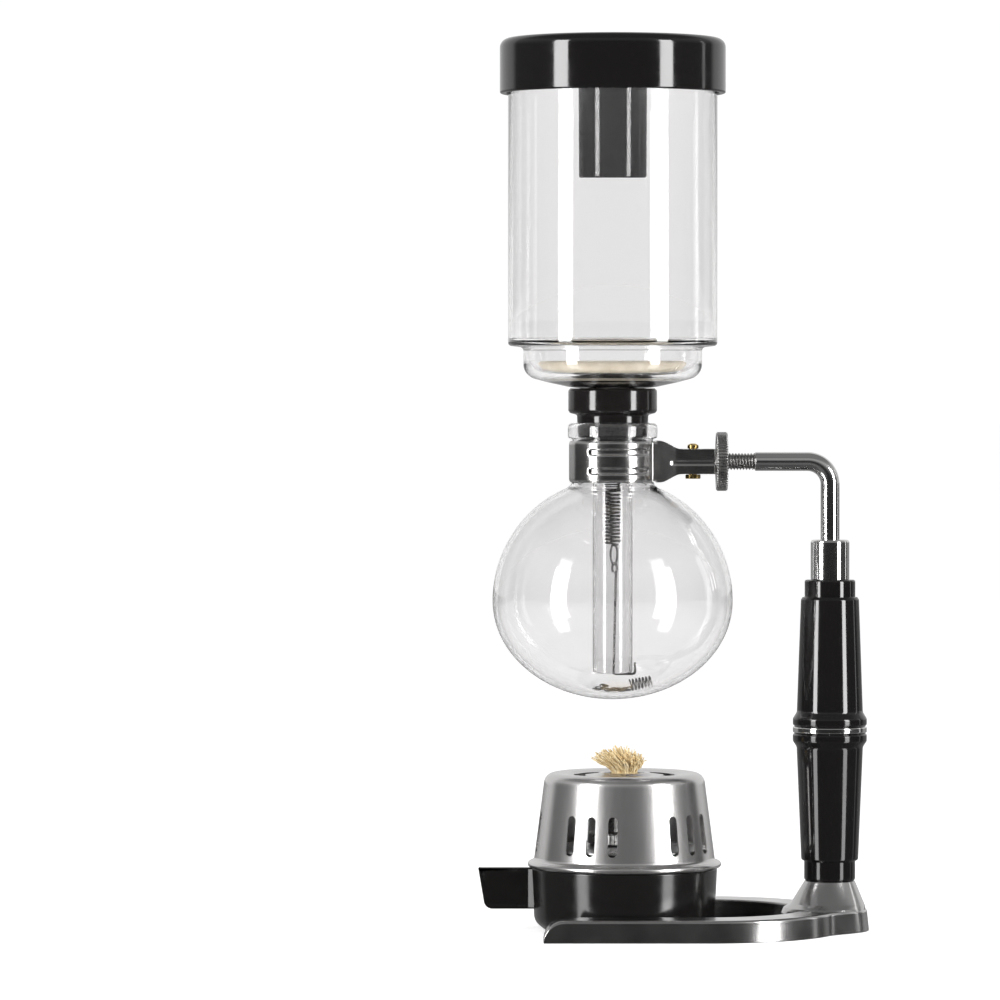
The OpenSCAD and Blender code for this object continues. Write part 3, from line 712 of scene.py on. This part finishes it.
def cut_away(piece, cutter):
    """Takes the cutter out of a piece, and removes it."""
    boolean = piece.modifiers.new("cut", "BOOLEAN")
    boolean.object = cutter
    boolean.operation = "DIFFERENCE"
    boolean.solver = "EXACT"
    bpy.context.view_layer.update()
    depsgraph = bpy.context.evaluated_depsgraph_get()
    mesh = bpy.data.meshes.new_from_object(piece.evaluated_get(depsgraph))
    piece.modifiers.clear()
    piece.data = mesh
    smooth(mesh, 30)
    bpy.data.objects.remove(cutter)


# ------------------------------------------------------------------ glass

WALL = 1.8
BULB_Z = 124
BULB_LOW, BULB_HIGH = 36.9, 46
BULB_R = 45.1
NECK_R = 15.1


def bulb_side(shrink, neck):
    """Half outline of the bulb and its neck, from the bottom up, shrunk by a wall."""
    a = BULB_R - shrink
    low, high = BULB_LOW - shrink, BULB_HIGH - shrink
    points = []
    for k in range(49):
        e = math.radians(-90 + 90 * k / 48)
        points.append((max(0.0, a * math.cos(e)), BULB_Z + low * math.sin(e)))
    shoulder = math.degrees(math.acos((neck + 4.2) / a))
    for k in range(1, 49):
        e = math.radians(shoulder * k / 48)
        points.append((a * math.cos(e), BULB_Z + high * math.sin(e)))
    x0, z0 = points[-1]
    x1, z1 = points[-2]
    slope = Vector((x0 - x1, z0 - z1)).normalized()
    reach = (x0 - neck) / -slope.x
    corner_z = z0 + slope.y * reach
    points += rounded([(x0, z0), (neck, corner_z, 6), (neck, corner_z + 8)], steps=10)[1:-1]
    return points


def build_flask():
    low, high = span("flask")
    top = high.z
    inner_neck = NECK_R - 1.6
    lip = rounded([
        (NECK_R, 183.2, 0), (NECK_R, 185, 0.8), (16.8, 185.2, 2.2), (16.8, top, 3.2),
        (inner_neck + 0.1, top, 1.4), (inner_neck, top - 5, 0)], steps=10)
    inner = bulb_side(WALL, inner_neck)
    outline = bulb_side(0, NECK_R) + lip + inner[::-1]
    axis = (low + high) / 2
    flask = lathe("flask_glass", outline, axis, closed=False, segments=192, sharp=60)
    finish_piece(flask, GLASS, "stand", "clear_glass", "flask")


def build_bowl():
    low, high = span("upper_bowl")
    radius = high.x - STEM.x
    top, bottom = high.z, low.z
    stem_r, stem_in = 7.45, 6.25
    outer = rounded([
        (stem_r, bottom + 1.2), (stem_r, 203.4, 2.2), (16, 204.3, 6), (24.6, 206.2, 10), (33.5, 208.6, 8.5),
        (33.6, 219.2, 1.3), (39.3, 219.9, 1.5), (radius, top)], steps=10)
    inner = rounded([
        (radius - WALL, top), (radius - WALL, 221.7, 1.2), (33.6 - WALL, 220.9, 1.2),
        (33.5 - WALL, 210.4, 6.8), (24.2, 208.0, 10), (15, 206.1, 6), (stem_in, 205.2, 2),
        (stem_in, bottom + 1.2)], steps=10)
    rim = arc(radius - WALL / 2, top - 0.9, WALL / 2, 0, 180, 8)
    foot = arc((stem_r + stem_in) / 2, bottom + 0.6, 0.6, 180, 360, 8)
    outline = outer[1:-1] + rim + inner[1:-1] + foot
    bowl = lathe("bowl_glass", outline, STEM, segments=192, sharp=60)
    finish_piece(bowl, GLASS, "bowl", "clear_glass", "upper_bowl")


def build_stopper():
    top = span("stopper")[1].z
    outline = rounded([
        (7.5, 175), (12.2, 175, 0.8), (13.3, 191.2, 3), (13.4, 193.9, 0.8), (16.0, 194.6, 0.8),
        (16.7, 195.6, 0.6), (16.7, top - 0.9, 0.7), (15.9, top, 0.3), (9.6, top - 1.3, 0.5),
        (7.5, top - 3)], closed=True, steps=6)
    finish_piece(lathe("stopper_silicone", outline, STEM), SILICONE, "bowl", "black_silicone", "stopper")


def build_lid():
    low, high = span("lid")
    radius = high.x - STEM.x
    top, skirt, column_low = high.z, high.z - 20.6, low.z
    roof = top - 3
    inside = radius - 2.4
    outline = rounded([
        (0, top), (radius, top, 3.4), (radius, skirt, 0.7), (inside, skirt, 0.6), (inside, roof, 1.2),
        (12.9, roof, 1.2), (12.7, column_low, 0.7), (10.6, column_low, 0.7), (10.6, roof, 1), (0, roof)])
    finish_piece(lathe("lid_moulding", outline, STEM, closed=False, segments=192), GLOSS_BLACK,
                 "lid", "gloss_black", "lid")


# ------------------------------------------------------------------ filter, spring and hook

def build_filter():
    low, high = span("filter_cloth")
    radius = high.x - STEM.x
    half = (high.z - low.z) / 2
    mid = (high.z + low.z) / 2
    random.seed(5)
    waves = [(random.uniform(0.05, 0.12), n, random.uniform(0, 6.28)) for n in (3, 5, 8, 13, 21)]

    def crumple(r, height, angle):
        """A slightly uneven edge, as cloth pulled over a plate has."""
        if r < radius * 0.5:
            return r
        return r + sum(size * math.sin(n * angle + start) for size, n, start in waves) * (r / radius) ** 3

    edge = arc(radius - half - 0.4, mid, half, -90, 90, 14)
    top = [(radius * s, mid + half + 0.25 * (1 - s * s)) for s in (0.9, 0.7, 0.5, 0.3, 0.1, 0)]
    floor = low.z
    gather = [(9.3, floor - 1.7), (9.0, floor - 2.3)]
    under = [(10.5, floor - 2.8), (14, floor - 2.6), (19, floor - 1.6), (radius - half - 2.4, floor - 0.6)]
    inside = [(0, mid + half - 0.7), (radius - half - 0.6, mid + half - 0.9)]
    inside += [(radius - half - 0.2, mid), (radius - half - 0.6, floor + 0.5)]
    inside += [(radius - half - 3, floor + 0.1), (19, floor - 0.8), (14, floor - 1.8)]
    outline = gather + under + edge + top + inside
    cloth = lathe("filter_flannel", outline, STEM, segments=180, shape=crumple, sharp=70)
    finish_piece(cloth, FLANNEL, "bowl", "filter_cotton", "filter_cloth")


def build_spring():
    low, high = span("filter_spring")
    wire = 0.36
    radius = 3.2 - wire
    turns = round((high.z - low.z) / 1.34)
    coil = helix(Vector((STEM.x, 0, 0)), radius, low.z + wire, high.z - wire, turns, 26)
    closing = [Vector((STEM.x + 0.4, 0, low.z - 0.6)), Vector((STEM.x + 1.8, 0.3, low.z - 0.1))]
    spring = tube("spring_coil", closing + coil, wire, sides=8, sharp=70)
    spring.data.materials.append(WIRE)
    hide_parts("filter_spring")
    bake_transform(spring)


def oval(centre, half_width, half_height, heading, steps=40):
    """Closed oval loop of wire in an upright plane that faces a heading, in degrees."""
    side = Vector((math.cos(math.radians(heading)), math.sin(math.radians(heading)), 0))
    points = []
    for k in range(steps):
        a = 2 * math.pi * k / steps
        points.append(Vector(centre) + side * (half_width * math.cos(a))
                      + Vector((0, 0, half_height * math.sin(a))))
    return points


def build_hook():
    loop = oval((STEM.x + 0.5, 0, 141.8), 1.3, 3.7, 15)
    link = tube("link_oval", loop, 0.4, sides=10, closed=True, sharp=70)
    finish_piece(link, WIRE, "hook", "steel_wire", "spring_link")
    low, high = span("hook_wire")
    wire = 0.42
    floor = low.z + wire
    out = high.x - wire
    full_eye = oval((STEM.x + 0.75, 0, 136.6), 1.0, 1.8, -30, steps=28)
    eye = full_eye[-6:] + full_eye[:19]
    shank = bend_path([
        (STEM.x + 1.2, 0, 133.4), (STEM.x + 0.4, 0, floor, 0.9), (out, 0, floor, 1.1),
        (out - 0.1, 0, floor + 4.4)], 0.25)
    twist = [Vector((STEM.x + 1.35, 0.25, 134.6)), Vector((STEM.x + 1.28, -0.1, 134.0))]
    hook = tube("hook_drawn", eye[::-1] + twist + shank, wire * 1.1, sides=12, sharp=70)
    finish_piece(hook, WIRE, "hook", "steel_wire", "hook_wire")


def floor_of_bulb(radius):
    return BULB_Z - (BULB_LOW - WALL) * math.sqrt(1 - (radius / (BULB_R - WALL)) ** 2)


def build_boiling_chain():
    """Small twisted links that lie on the bottom of the bulb, and a short coil at their end."""
    random.seed(11)
    chain_y = -4.2
    bm = bmesh.new()
    count = 15
    for i in range(count):
        x = -6.4 + 12.4 * i / (count - 1)
        y = chain_y + 0.9 * math.sin(i * 1.3)
        lift = 1.5 + (1.4 if i in (3, 4) else 0.0) + random.uniform(0, 0.35)
        centre = Vector((STEM.x + x, y, floor_of_bulb(math.hypot(x, y)) + lift))
        turn = Matrix.Rotation(i * 1.45, 3, "X") @ Matrix.Rotation(random.uniform(-0.5, 0.5), 3, "Z")
        loop = [centre + turn @ Vector((1.1 * math.cos(a), 0.65 * math.sin(a), 0))
                for a in (2 * math.pi * k / 16 for k in range(16))]
        add_tube(bm, loop, 0.29, 6, closed=True)
    chain = new_piece("chain_links", bm, 70)
    finish_piece(chain, WIRE, "stand", "steel_wire", "boiling_chain")
    along = Vector((math.cos(math.radians(10)), 0, math.sin(math.radians(10))))
    start = Vector((STEM.x + 6.6, chain_y, 92.35))
    coil = tube("chain_coil", helix(start, 2.1, 0, 8.2, 6.5, 22, along), 0.3, sides=8, sharp=70)
    finish_piece(coil, WIRE, "stand", "steel_wire", "boiling_coil")


# ------------------------------------------------------------------ burner

def build_pot():
    low, high = span("burner_pot")
    pot_top = high.z
    radius = (high.y - low.y) / 2
    wall = 2.6
    outline = rounded([
        (0, 0.5), (radius - 9, 0.5, 0.5), (radius - 8.4, 0, 0.3), (radius - 5.5, 0, 2.5),
        (radius - 1.0, 3.6, 5), (radius, pot_top, 0.5), (radius - wall, pot_top, 0.4),
        (radius - wall - 0.3, 2.5, 2), (0, 2.5)])
    pot = lathe("pot_shell", outline, BURNER, closed=False, segments=160)
    finish_piece(pot, SATIN_BLACK, "burner", "satin_black", "burner_pot")

    tip = low.x - BURNER.x
    top = pot_top - 0.15
    outline = rounded([
        (tip, top, 0.6), (tip + 2.6, 8.3, 3.2), (1.5 - radius, 8.3, 0), (1.5 - radius, top, 0)], closed=True)
    tab = extruded("pot_tab", outline, lambda u, v, w: (BURNER.x + u, w, v), 4.0, 0.35,
                   inset=1.3, recess=0.35)
    finish_piece(tab, SATIN_BLACK, "burner", "satin_black")
    root_out, root_in = -radius - 1.6, 1.2 - radius
    root = rounded([
        (root_out, -2.0, 0.6), (root_in, -3.6), (root_in, 3.6), (root_out, 2.0, 0.6)], closed=True)
    root_mid = (8.4 + top - 0.2) / 2
    flare = extruded("pot_tab_root", root, lambda u, v, w: (BURNER.x + u, v, root_mid + w), top - 8.8, 0.5)
    finish_piece(flare, SATIN_BLACK, "burner", "satin_black")


def build_tank():
    top = 31.5
    body = rounded([
        (0, 2.7), (28, 2.7, 1.5), (31.5, 6.5, 3), (31.5, top - 1.2, 0.3), (31.95, top - 0.8, 0.2),
        (31.95, top - 0.2, 0.2), (31.2, top, 0.3), (30.6, top - 0.5, 0.4), (22, top + 0.4, 10),
        (13.6, top + 0.9, 1.5), (12.2, top + 1.3, 0.4), (12.2, 35.6, 0.2), (11, 35.6, 0.2), (11, top + 0.2),
        (28, top - 1.2), (30.6, top - 2), (30.6, 7, 2), (27, 3.6), (0, 3.6)])
    tank = lathe("tank_shell", body, BURNER, closed=False)
    finish_piece(tank, TANK, "burner", "tank_metal", "burner_tank")

    def ribs(count, depth, limit):
        def shape(radius, height, angle):
            if radius < limit:
                return radius
            wave = 0.5 + 0.5 * math.cos(count * angle)
            return radius - depth * (1 - min(1.0, 1.8 * wave))
        return shape

    cap = rounded([
        (12.4, 33), (13.7, 33, 0.3), (13.7, 36.8, 0.4), (12.9, 37.2, 0.3), (7.2, 37.2, 0.2), (7.2, 36.5),
        (12.4, 36.5)], closed=True, steps=4)
    finish_piece(lathe("cap_ribbed", cap, BURNER, segments=400, shape=ribs(40, 0.5, 13.3), sharp=50),
                 SATIN_STEEL, "burner", "satin_steel", "tank_cap")
    collar = rounded([
        (6.8, 37.3), (9.6, 37.3, 0.4), (9.6, 42.9, 0.5), (8.6, 43.6, 0.4), (6.8, 43.6)],
        closed=True, steps=4)
    finish_piece(lathe("collar_ribbed", collar, BURNER, segments=320, shape=ribs(32, 0.45, 9.2), sharp=50),
                 SATIN_STEEL, "burner", "satin_steel", "wick_collar")
    tube_top = span("wick_tube")[1].z
    sleeve = rounded([
        (5.4, 31), (6.7, 31), (6.7, 55.6, 1.5), (7.3, tube_top - 0.9, 0.4), (7.3, tube_top, 0.25),
        (6.7, tube_top, 0.25), (5.4, 57.2, 0.8)], closed=True, steps=5)
    finish_piece(lathe("wick_sleeve", sleeve, BURNER), SATIN_STEEL, "burner", "satin_steel", "wick_tube")


def build_wick():
    """A plaited cotton core whose end is frayed into loose strands."""
    random.seed(23)
    low, high = span("wick")
    mouth = span("wick_tube")[1].z
    core_r = 5.1

    def plait(radius, height, angle):
        if radius < 1:
            return radius
        twist = angle * 7 + height * 0.9
        return radius + 0.22 * math.sin(twist) * math.sin(angle * 7 - height * 0.9)

    outline = [(0, low.z)] + [(core_r, low.z + (mouth - 0.6 - low.z) * k / 60) for k in range(61)]
    outline += [(core_r * 0.85, mouth + 1.6), (core_r * 0.5, mouth + 3.4), (0, mouth + 4)]
    core = lathe("wick_core", outline, BURNER, closed=False, segments=84, shape=plait, sharp=80)
    finish_piece(core, COTTON, "wick", "wick_cotton", "wick")

    bm = bmesh.new()
    strands = 270
    for i in range(strands):
        share = math.sqrt((i + 0.5) / strands)
        a = i * 2.39996
        start = share * (core_r - 0.5)
        lean = 0.12 + 0.95 * share ** 1.5 + random.uniform(-0.25, 0.25)
        length = random.uniform(5.6, 8.4) * (1.12 - 0.3 * share)
        out = Vector((math.cos(a), math.sin(a), 0))
        sway = Vector((-out.y, out.x, 0)) * random.uniform(-1.4, 1.4) + Vector((-2.4, 0, 0))
        base = Vector((BURNER.x, 0, mouth + 0.3)) + out * start
        points = []
        for k in range(6):
            t = k / 5
            curl = math.sin(t * math.pi * random.uniform(0.6, 1.3)) * random.uniform(-0.8, 0.8)
            points.append(base + out * (length * math.sin(lean) * t ** 1.35) + sway * t * t
                          + Vector((0, 0, 1.2 * t + length * math.cos(lean * 0.8) * t)) + out * curl)
        add_tube(bm, points, random.uniform(0.3, 0.52), 6, taper=lambda t: 1 - 0.5 * t)
    fray = new_piece("wick_strands", bm, 80)
    finish_piece(fray, COTTON, "wick", "wick_cotton")


def build_windshield():
    """Pressed sheet with three slots in each of five groups and six vents in its top."""
    low, high = span("windshield")
    top = high.z
    line = rounded([
        (7.75, top - 0.35, 0), (8.3, top, 0.5), (9.4, top, 1.2), (10.8, top - 1.0, 1.2),
        (19.6, top - 1.15, 3), (22.2, top - 0.3, 2.5), (29.75, top, 6.2),
        (34.0, 27.0, 2.2), (35.6, 26.0, 0)], steps=10)
    line = [Vector(p) for p in line]
    lengths = running_lengths(line)
    total = lengths[-1]

    def at(s):
        """Place on the section at a length along it."""
        j = 0
        while j < len(line) - 2 and lengths[j + 1] < s:
            j += 1
        share = (s - lengths[j]) / (lengths[j + 1] - lengths[j])
        return line[j].lerp(line[j + 1], share)

    def length_where(test):
        steps = 4000
        return next(total * k / steps for k in range(steps) if test(at(total * k / steps)))

    slot_z, slot_half, slot_r = 37.5, 5.7, 1.8
    s_slot = length_where(lambda p: p.x > 28 and p.y < slot_z)
    vent_r = 17.4
    s_vent = length_where(lambda p: p.x > vent_r)
    holes = []
    for group in range(5):
        for slot in (-1, 0, 1):
            centre = math.radians(-90 - 24 + 72 * group + 15 * slot)
            r = at(s_slot).x
            loop = [(u / r, v + slot_half) for u, v in arc(0, 0, slot_r, 0, 180, 12)]
            loop += [(u / r, v - slot_half) for u, v in arc(0, 0, slot_r, 180, 360, 12)]
            holes.append([(centre + u, s_slot + v) for u, v in loop])
    for i in range(6):
        centre = math.radians(30 + 60 * i)
        half = math.radians(15)
        loop = [(half + u / vent_r, v) for u, v in arc(0, 0, 2.2, -90, 90, 10)]
        loop += [(-half + u / vent_r, v) for u, v in arc(0, 0, 2.2, 90, 270, 10)]
        holes.append([(centre + u, s_vent + v) for u, v in loop])

    seam = math.radians(-90)
    scale = 30.0

    def unrolled(angle):
        """Place of an angle on the flat sheet, which starts at the seam."""
        return ((angle - seam) % (2 * math.pi)) * scale

    holes = [[(unrolled(a), s) for a, s in loop] for loop in holes]
    points, edges = [], []
    for loop in holes:
        first = len(points)
        points += [Vector(place) for place in loop]
        edges += [(first + k, first + (k + 1) % len(loop)) for k in range(len(loop))]
    columns = 216
    levels = sorted(set([round(v, 3) for v in lengths] + [round(total * k / 46, 3) for k in range(47)]))
    boxes = []
    for loop in holes:
        across, heights = zip(*loop)
        boxes.append((min(across) - 0.25, max(across) + 0.25, min(heights) - 0.2, max(heights) + 0.2))
    for c in range(columns + 1):
        x = 2 * math.pi * scale * c / columns
        for s in levels:
            if any(b[0] < x < b[1] and b[2] < s < b[3] for b in boxes):
                continue
            points.append(Vector((x, s)))
    flat, _, faces, _, _, _ = geometry.delaunay_2d_cdt(points, edges, [], 0, 1e-5)

    def in_hole(x, s):
        for loop, b in zip(holes, boxes):
            if not (b[0] < x < b[1] and b[2] < s < b[3]):
                continue
            inside = False
            for (x0, y0), (x1, y1) in zip(loop, loop[1:] + loop[:1]):
                if (y0 > s) != (y1 > s) and x < (x1 - x0) * (s - y0) / (y1 - y0) + x0:
                    inside = not inside
            if inside:
                return True
        return False

    sheet = 0.6
    bm = bmesh.new()
    verts = []
    for p in flat:
        place = at(min(max(p.y, 0), total))
        a = p.x / scale + seam
        verts.append(bm.verts.new(Vector((
            BURNER.x + place.x * math.cos(a), place.x * math.sin(a), place.y)) * MM))
    for face in faces:
        mid = sum((flat[i] for i in face), Vector((0, 0))) / len(face)
        if not in_hole(mid.x, mid.y):
            bm.faces.new([verts[i] for i in face])
    bmesh.ops.delete(bm, geom=[v for v in bm.verts if not v.link_faces], context="VERTS")
    bmesh.ops.remove_doubles(bm, verts=bm.verts, dist=2e-6)
    shield = new_piece("shield_sheet", bm, 80)
    centre = Vector((BURNER.x, 0, 30)) * MM
    outward = sum((p.normal.dot(p.center - centre) * p.area for p in shield.data.polygons))
    if outward < 0:
        shield.data.flip_normals()
    solid = shield.modifiers.new("sheet", "SOLIDIFY")
    solid.thickness = sheet * MM
    solid.offset = -1
    solid.use_even_offset = False
    add_bevel(shield, 0.14, 2, 60)
    finish_piece(shield, STAINLESS, "windshield", "stainless", "windshield")

    rim_z = span("burner_pot")[1].z + 1.3
    ring = arc(35.2, rim_z, 1.2, 0, 360, 20)[:-1]
    finish_piece(lathe("shield_rim", ring, BURNER, segments=192), STAINLESS, "windshield", "stainless")


# ------------------------------------------------------------------ studio

def math_node(tree, operation, a, b):
    """A math node of two values, each a number or a socket."""
    node = tree.nodes.new("ShaderNodeMath")
    node.operation = operation
    for socket, value in zip(node.inputs, (a, b)):
        if isinstance(value, (int, float)):
            socket.default_value = value
        else:
            tree.links.new(value, socket)
    return node.outputs["Value"]


def path_output(tree, name):
    return tree.nodes.new("ShaderNodeLightPath").outputs[name]


def mix_shaders(tree, factor, first, second):
    """The first shader at factor 0, and the second at 1."""
    mix = tree.nodes.new("ShaderNodeMixShader")
    for socket, source in zip(mix.inputs, (factor, first, second)):
        tree.links.new(source, socket)
    return mix.outputs["Shader"]


def build_studio():
    scene = bpy.context.scene
    scene.view_settings.view_transform = "Standard"
    bpy.ops.mesh.primitive_plane_add(size=60, location=(0, 0, 0))
    floor = bpy.context.object
    floor.name = "studio_floor"
    material, tree, bsdf = shader("studio_floor", (0.9, 0.9, 0.9), roughness=0.9, specular=0.0)
    bsdf.inputs["Emission Color"].default_value = (1, 1, 1, 1)
    bsdf.inputs["Emission Strength"].default_value = 0.62
    polished = tree.nodes.new("ShaderNodeBsdfGlossy")
    polished.inputs["Color"].default_value = (0.4, 0.4, 0.4, 1)
    polished.inputs["Roughness"].default_value = 0.12
    reflected = math_node(tree, "MINIMUM", path_output(tree, "Glossy Depth"), 1)
    one_wall = math_node(tree, "LESS_THAN", path_output(tree, "Transmission Depth"), 3)
    in_glass = math_node(tree, "MULTIPLY", path_output(tree, "Is Transmission Ray"), one_wall)
    outside_glass = math_node(tree, "SUBTRACT", 1, in_glass)
    share = math_node(tree, "MULTIPLY", reflected, outside_glass)
    mixed = mix_shaders(tree, share, bsdf.outputs["BSDF"], polished.outputs["BSDF"])
    tree.links.new(mixed, tree.nodes["Material Output"].inputs["Surface"])
    floor.data.materials.append(material)

    world = bpy.data.worlds.new("studio")
    scene.world = world
    world.use_nodes = True
    tree = world.node_tree
    tree.nodes.clear()
    output = tree.nodes.new("ShaderNodeOutputWorld")
    coordinates = tree.nodes.new("ShaderNodeTexCoord")
    split = tree.nodes.new("ShaderNodeSeparateXYZ")
    tree.links.new(coordinates.outputs["Generated"], split.inputs["Vector"])

    def band(source, low, high, to_low, to_high):
        node = tree.nodes.new("ShaderNodeMapRange")
        node.interpolation_type = "SMOOTHSTEP"
        for name, value in (("From Min", low), ("From Max", high), ("To Min", to_low), ("To Max", to_high)):
            node.inputs[name].default_value = value
        tree.links.new(source, node.inputs["Value"])
        return node.outputs["Result"]

    back_wall = band(split.outputs["Y"], 0.42, 0.6, 0.05, 1.0)
    sides = band(split.outputs["Y"], -0.98, -0.5, 0.0, 0.12)
    ceiling = math_node(tree, "MULTIPLY", band(split.outputs["Z"], -0.02, 0.5, 0.0, 0.46),
                        band(split.outputs["Z"], 0.5, 0.75, 1.0, 0.3))
    studio = math_node(tree, "MAXIMUM", back_wall, math_node(tree, "ADD", sides, ceiling))
    through_glass = math_node(tree, "MULTIPLY", path_output(tree, "Is Transmission Ray"), 0.2)
    studio = math_node(tree, "ADD", studio, through_glass)
    bounced = math_node(tree, "MINIMUM", path_output(tree, "Glossy Depth"), 1)
    direct = math_node(tree, "SUBTRACT", 1, bounced)
    white = tree.nodes.new("ShaderNodeBackground")
    white.inputs["Color"].default_value = (1, 1, 1, 1)
    white.inputs["Strength"].default_value = 1.02
    shaped = tree.nodes.new("ShaderNodeBackground")
    tree.links.new(studio, shaped.inputs["Strength"])
    even = tree.nodes.new("ShaderNodeBackground")
    even.inputs["Strength"].default_value = 0.55
    straight = math_node(tree, "MAXIMUM", path_output(tree, "Is Camera Ray"),
                         path_output(tree, "Is Transmission Ray"))
    sees_white = math_node(tree, "MULTIPLY", straight, direct)
    by_gloss = mix_shaders(tree, bounced, even.outputs["Background"], shaped.outputs["Background"])
    by_view = mix_shaders(tree, sees_white, by_gloss, white.outputs["Background"])
    tree.links.new(by_view, output.inputs["Surface"])

    def softbox(name, azimuth, distance, height, width, tall, power):
        """A soft box that faces the object. Azimuth 0 is the camera's side, and positive is to its right."""
        a = math.radians(azimuth)
        light = bpy.data.lights.new(name, "AREA")
        light.shape = "RECTANGLE"
        light.size = width
        light.size_y = tall
        light.energy = power
        lamp = bpy.data.objects.new(name, light)
        lamp.location = (distance * math.sin(a), -distance * math.cos(a), height)
        aim = Vector((0, 0, height * 0.6 + 0.06)) - lamp.location
        lamp.rotation_euler = aim.to_track_quat("-Z", "Y").to_euler()
        lamp.visible_camera = False
        bpy.context.scene.collection.objects.link(lamp)

    radiance = 16
    box_power = radiance * math.pi
    strip_tall = 1.1
    for name, azimuth, width in (("strip_left", -55, 0.40), ("strip_right", 54, 0.38)):
        softbox(name, azimuth, 1.5, 0.36, width, strip_tall, box_power * width * strip_tall)
    softbox("strip_side", 104, 1.6, 0.4, 0.12, 1.0, box_power * 0.012)

    camera_x, camera_distance, camera_height = STEM.x - 42.3, 2100, 204.7
    tilt_down = 1.167
    camera = bpy.data.cameras.new("camera")
    camera.lens = 201.3
    camera.sensor_width = 36
    camera.clip_start, camera.clip_end = 0.05, 50
    eye = bpy.data.objects.new("camera", camera)
    eye.location = Vector((camera_x, -camera_distance, camera_height)) * MM
    eye.rotation_euler = (math.radians(90 - tilt_down), 0, 0)
    bpy.context.scene.collection.objects.link(eye)
    scene.camera = eye


def finish_inner_nodes():
    """Materials of the CAD nodes that stay as they are."""
    looks = {"base_washer": SATIN_STEEL, "base_screw": DARK_STEEL, "filter_plate_upper": SATIN_STEEL,
             "filter_plate_lower": SATIN_STEEL, "filter_screw": SATIN_STEEL, "tank_gasket": SILICONE}
    for name, material in looks.items():
        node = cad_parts[name]
        for slot in node.material_slots:
            slot.material = material


build_base()
build_handle()
build_rod()
build_clamp()
build_flask()
build_bowl()
build_stopper()
build_lid()
build_filter()
build_spring()
build_hook()
build_boiling_chain()
build_pot()
build_tank()
build_wick()
build_windshield()
finish_inner_nodes()
build_studio()
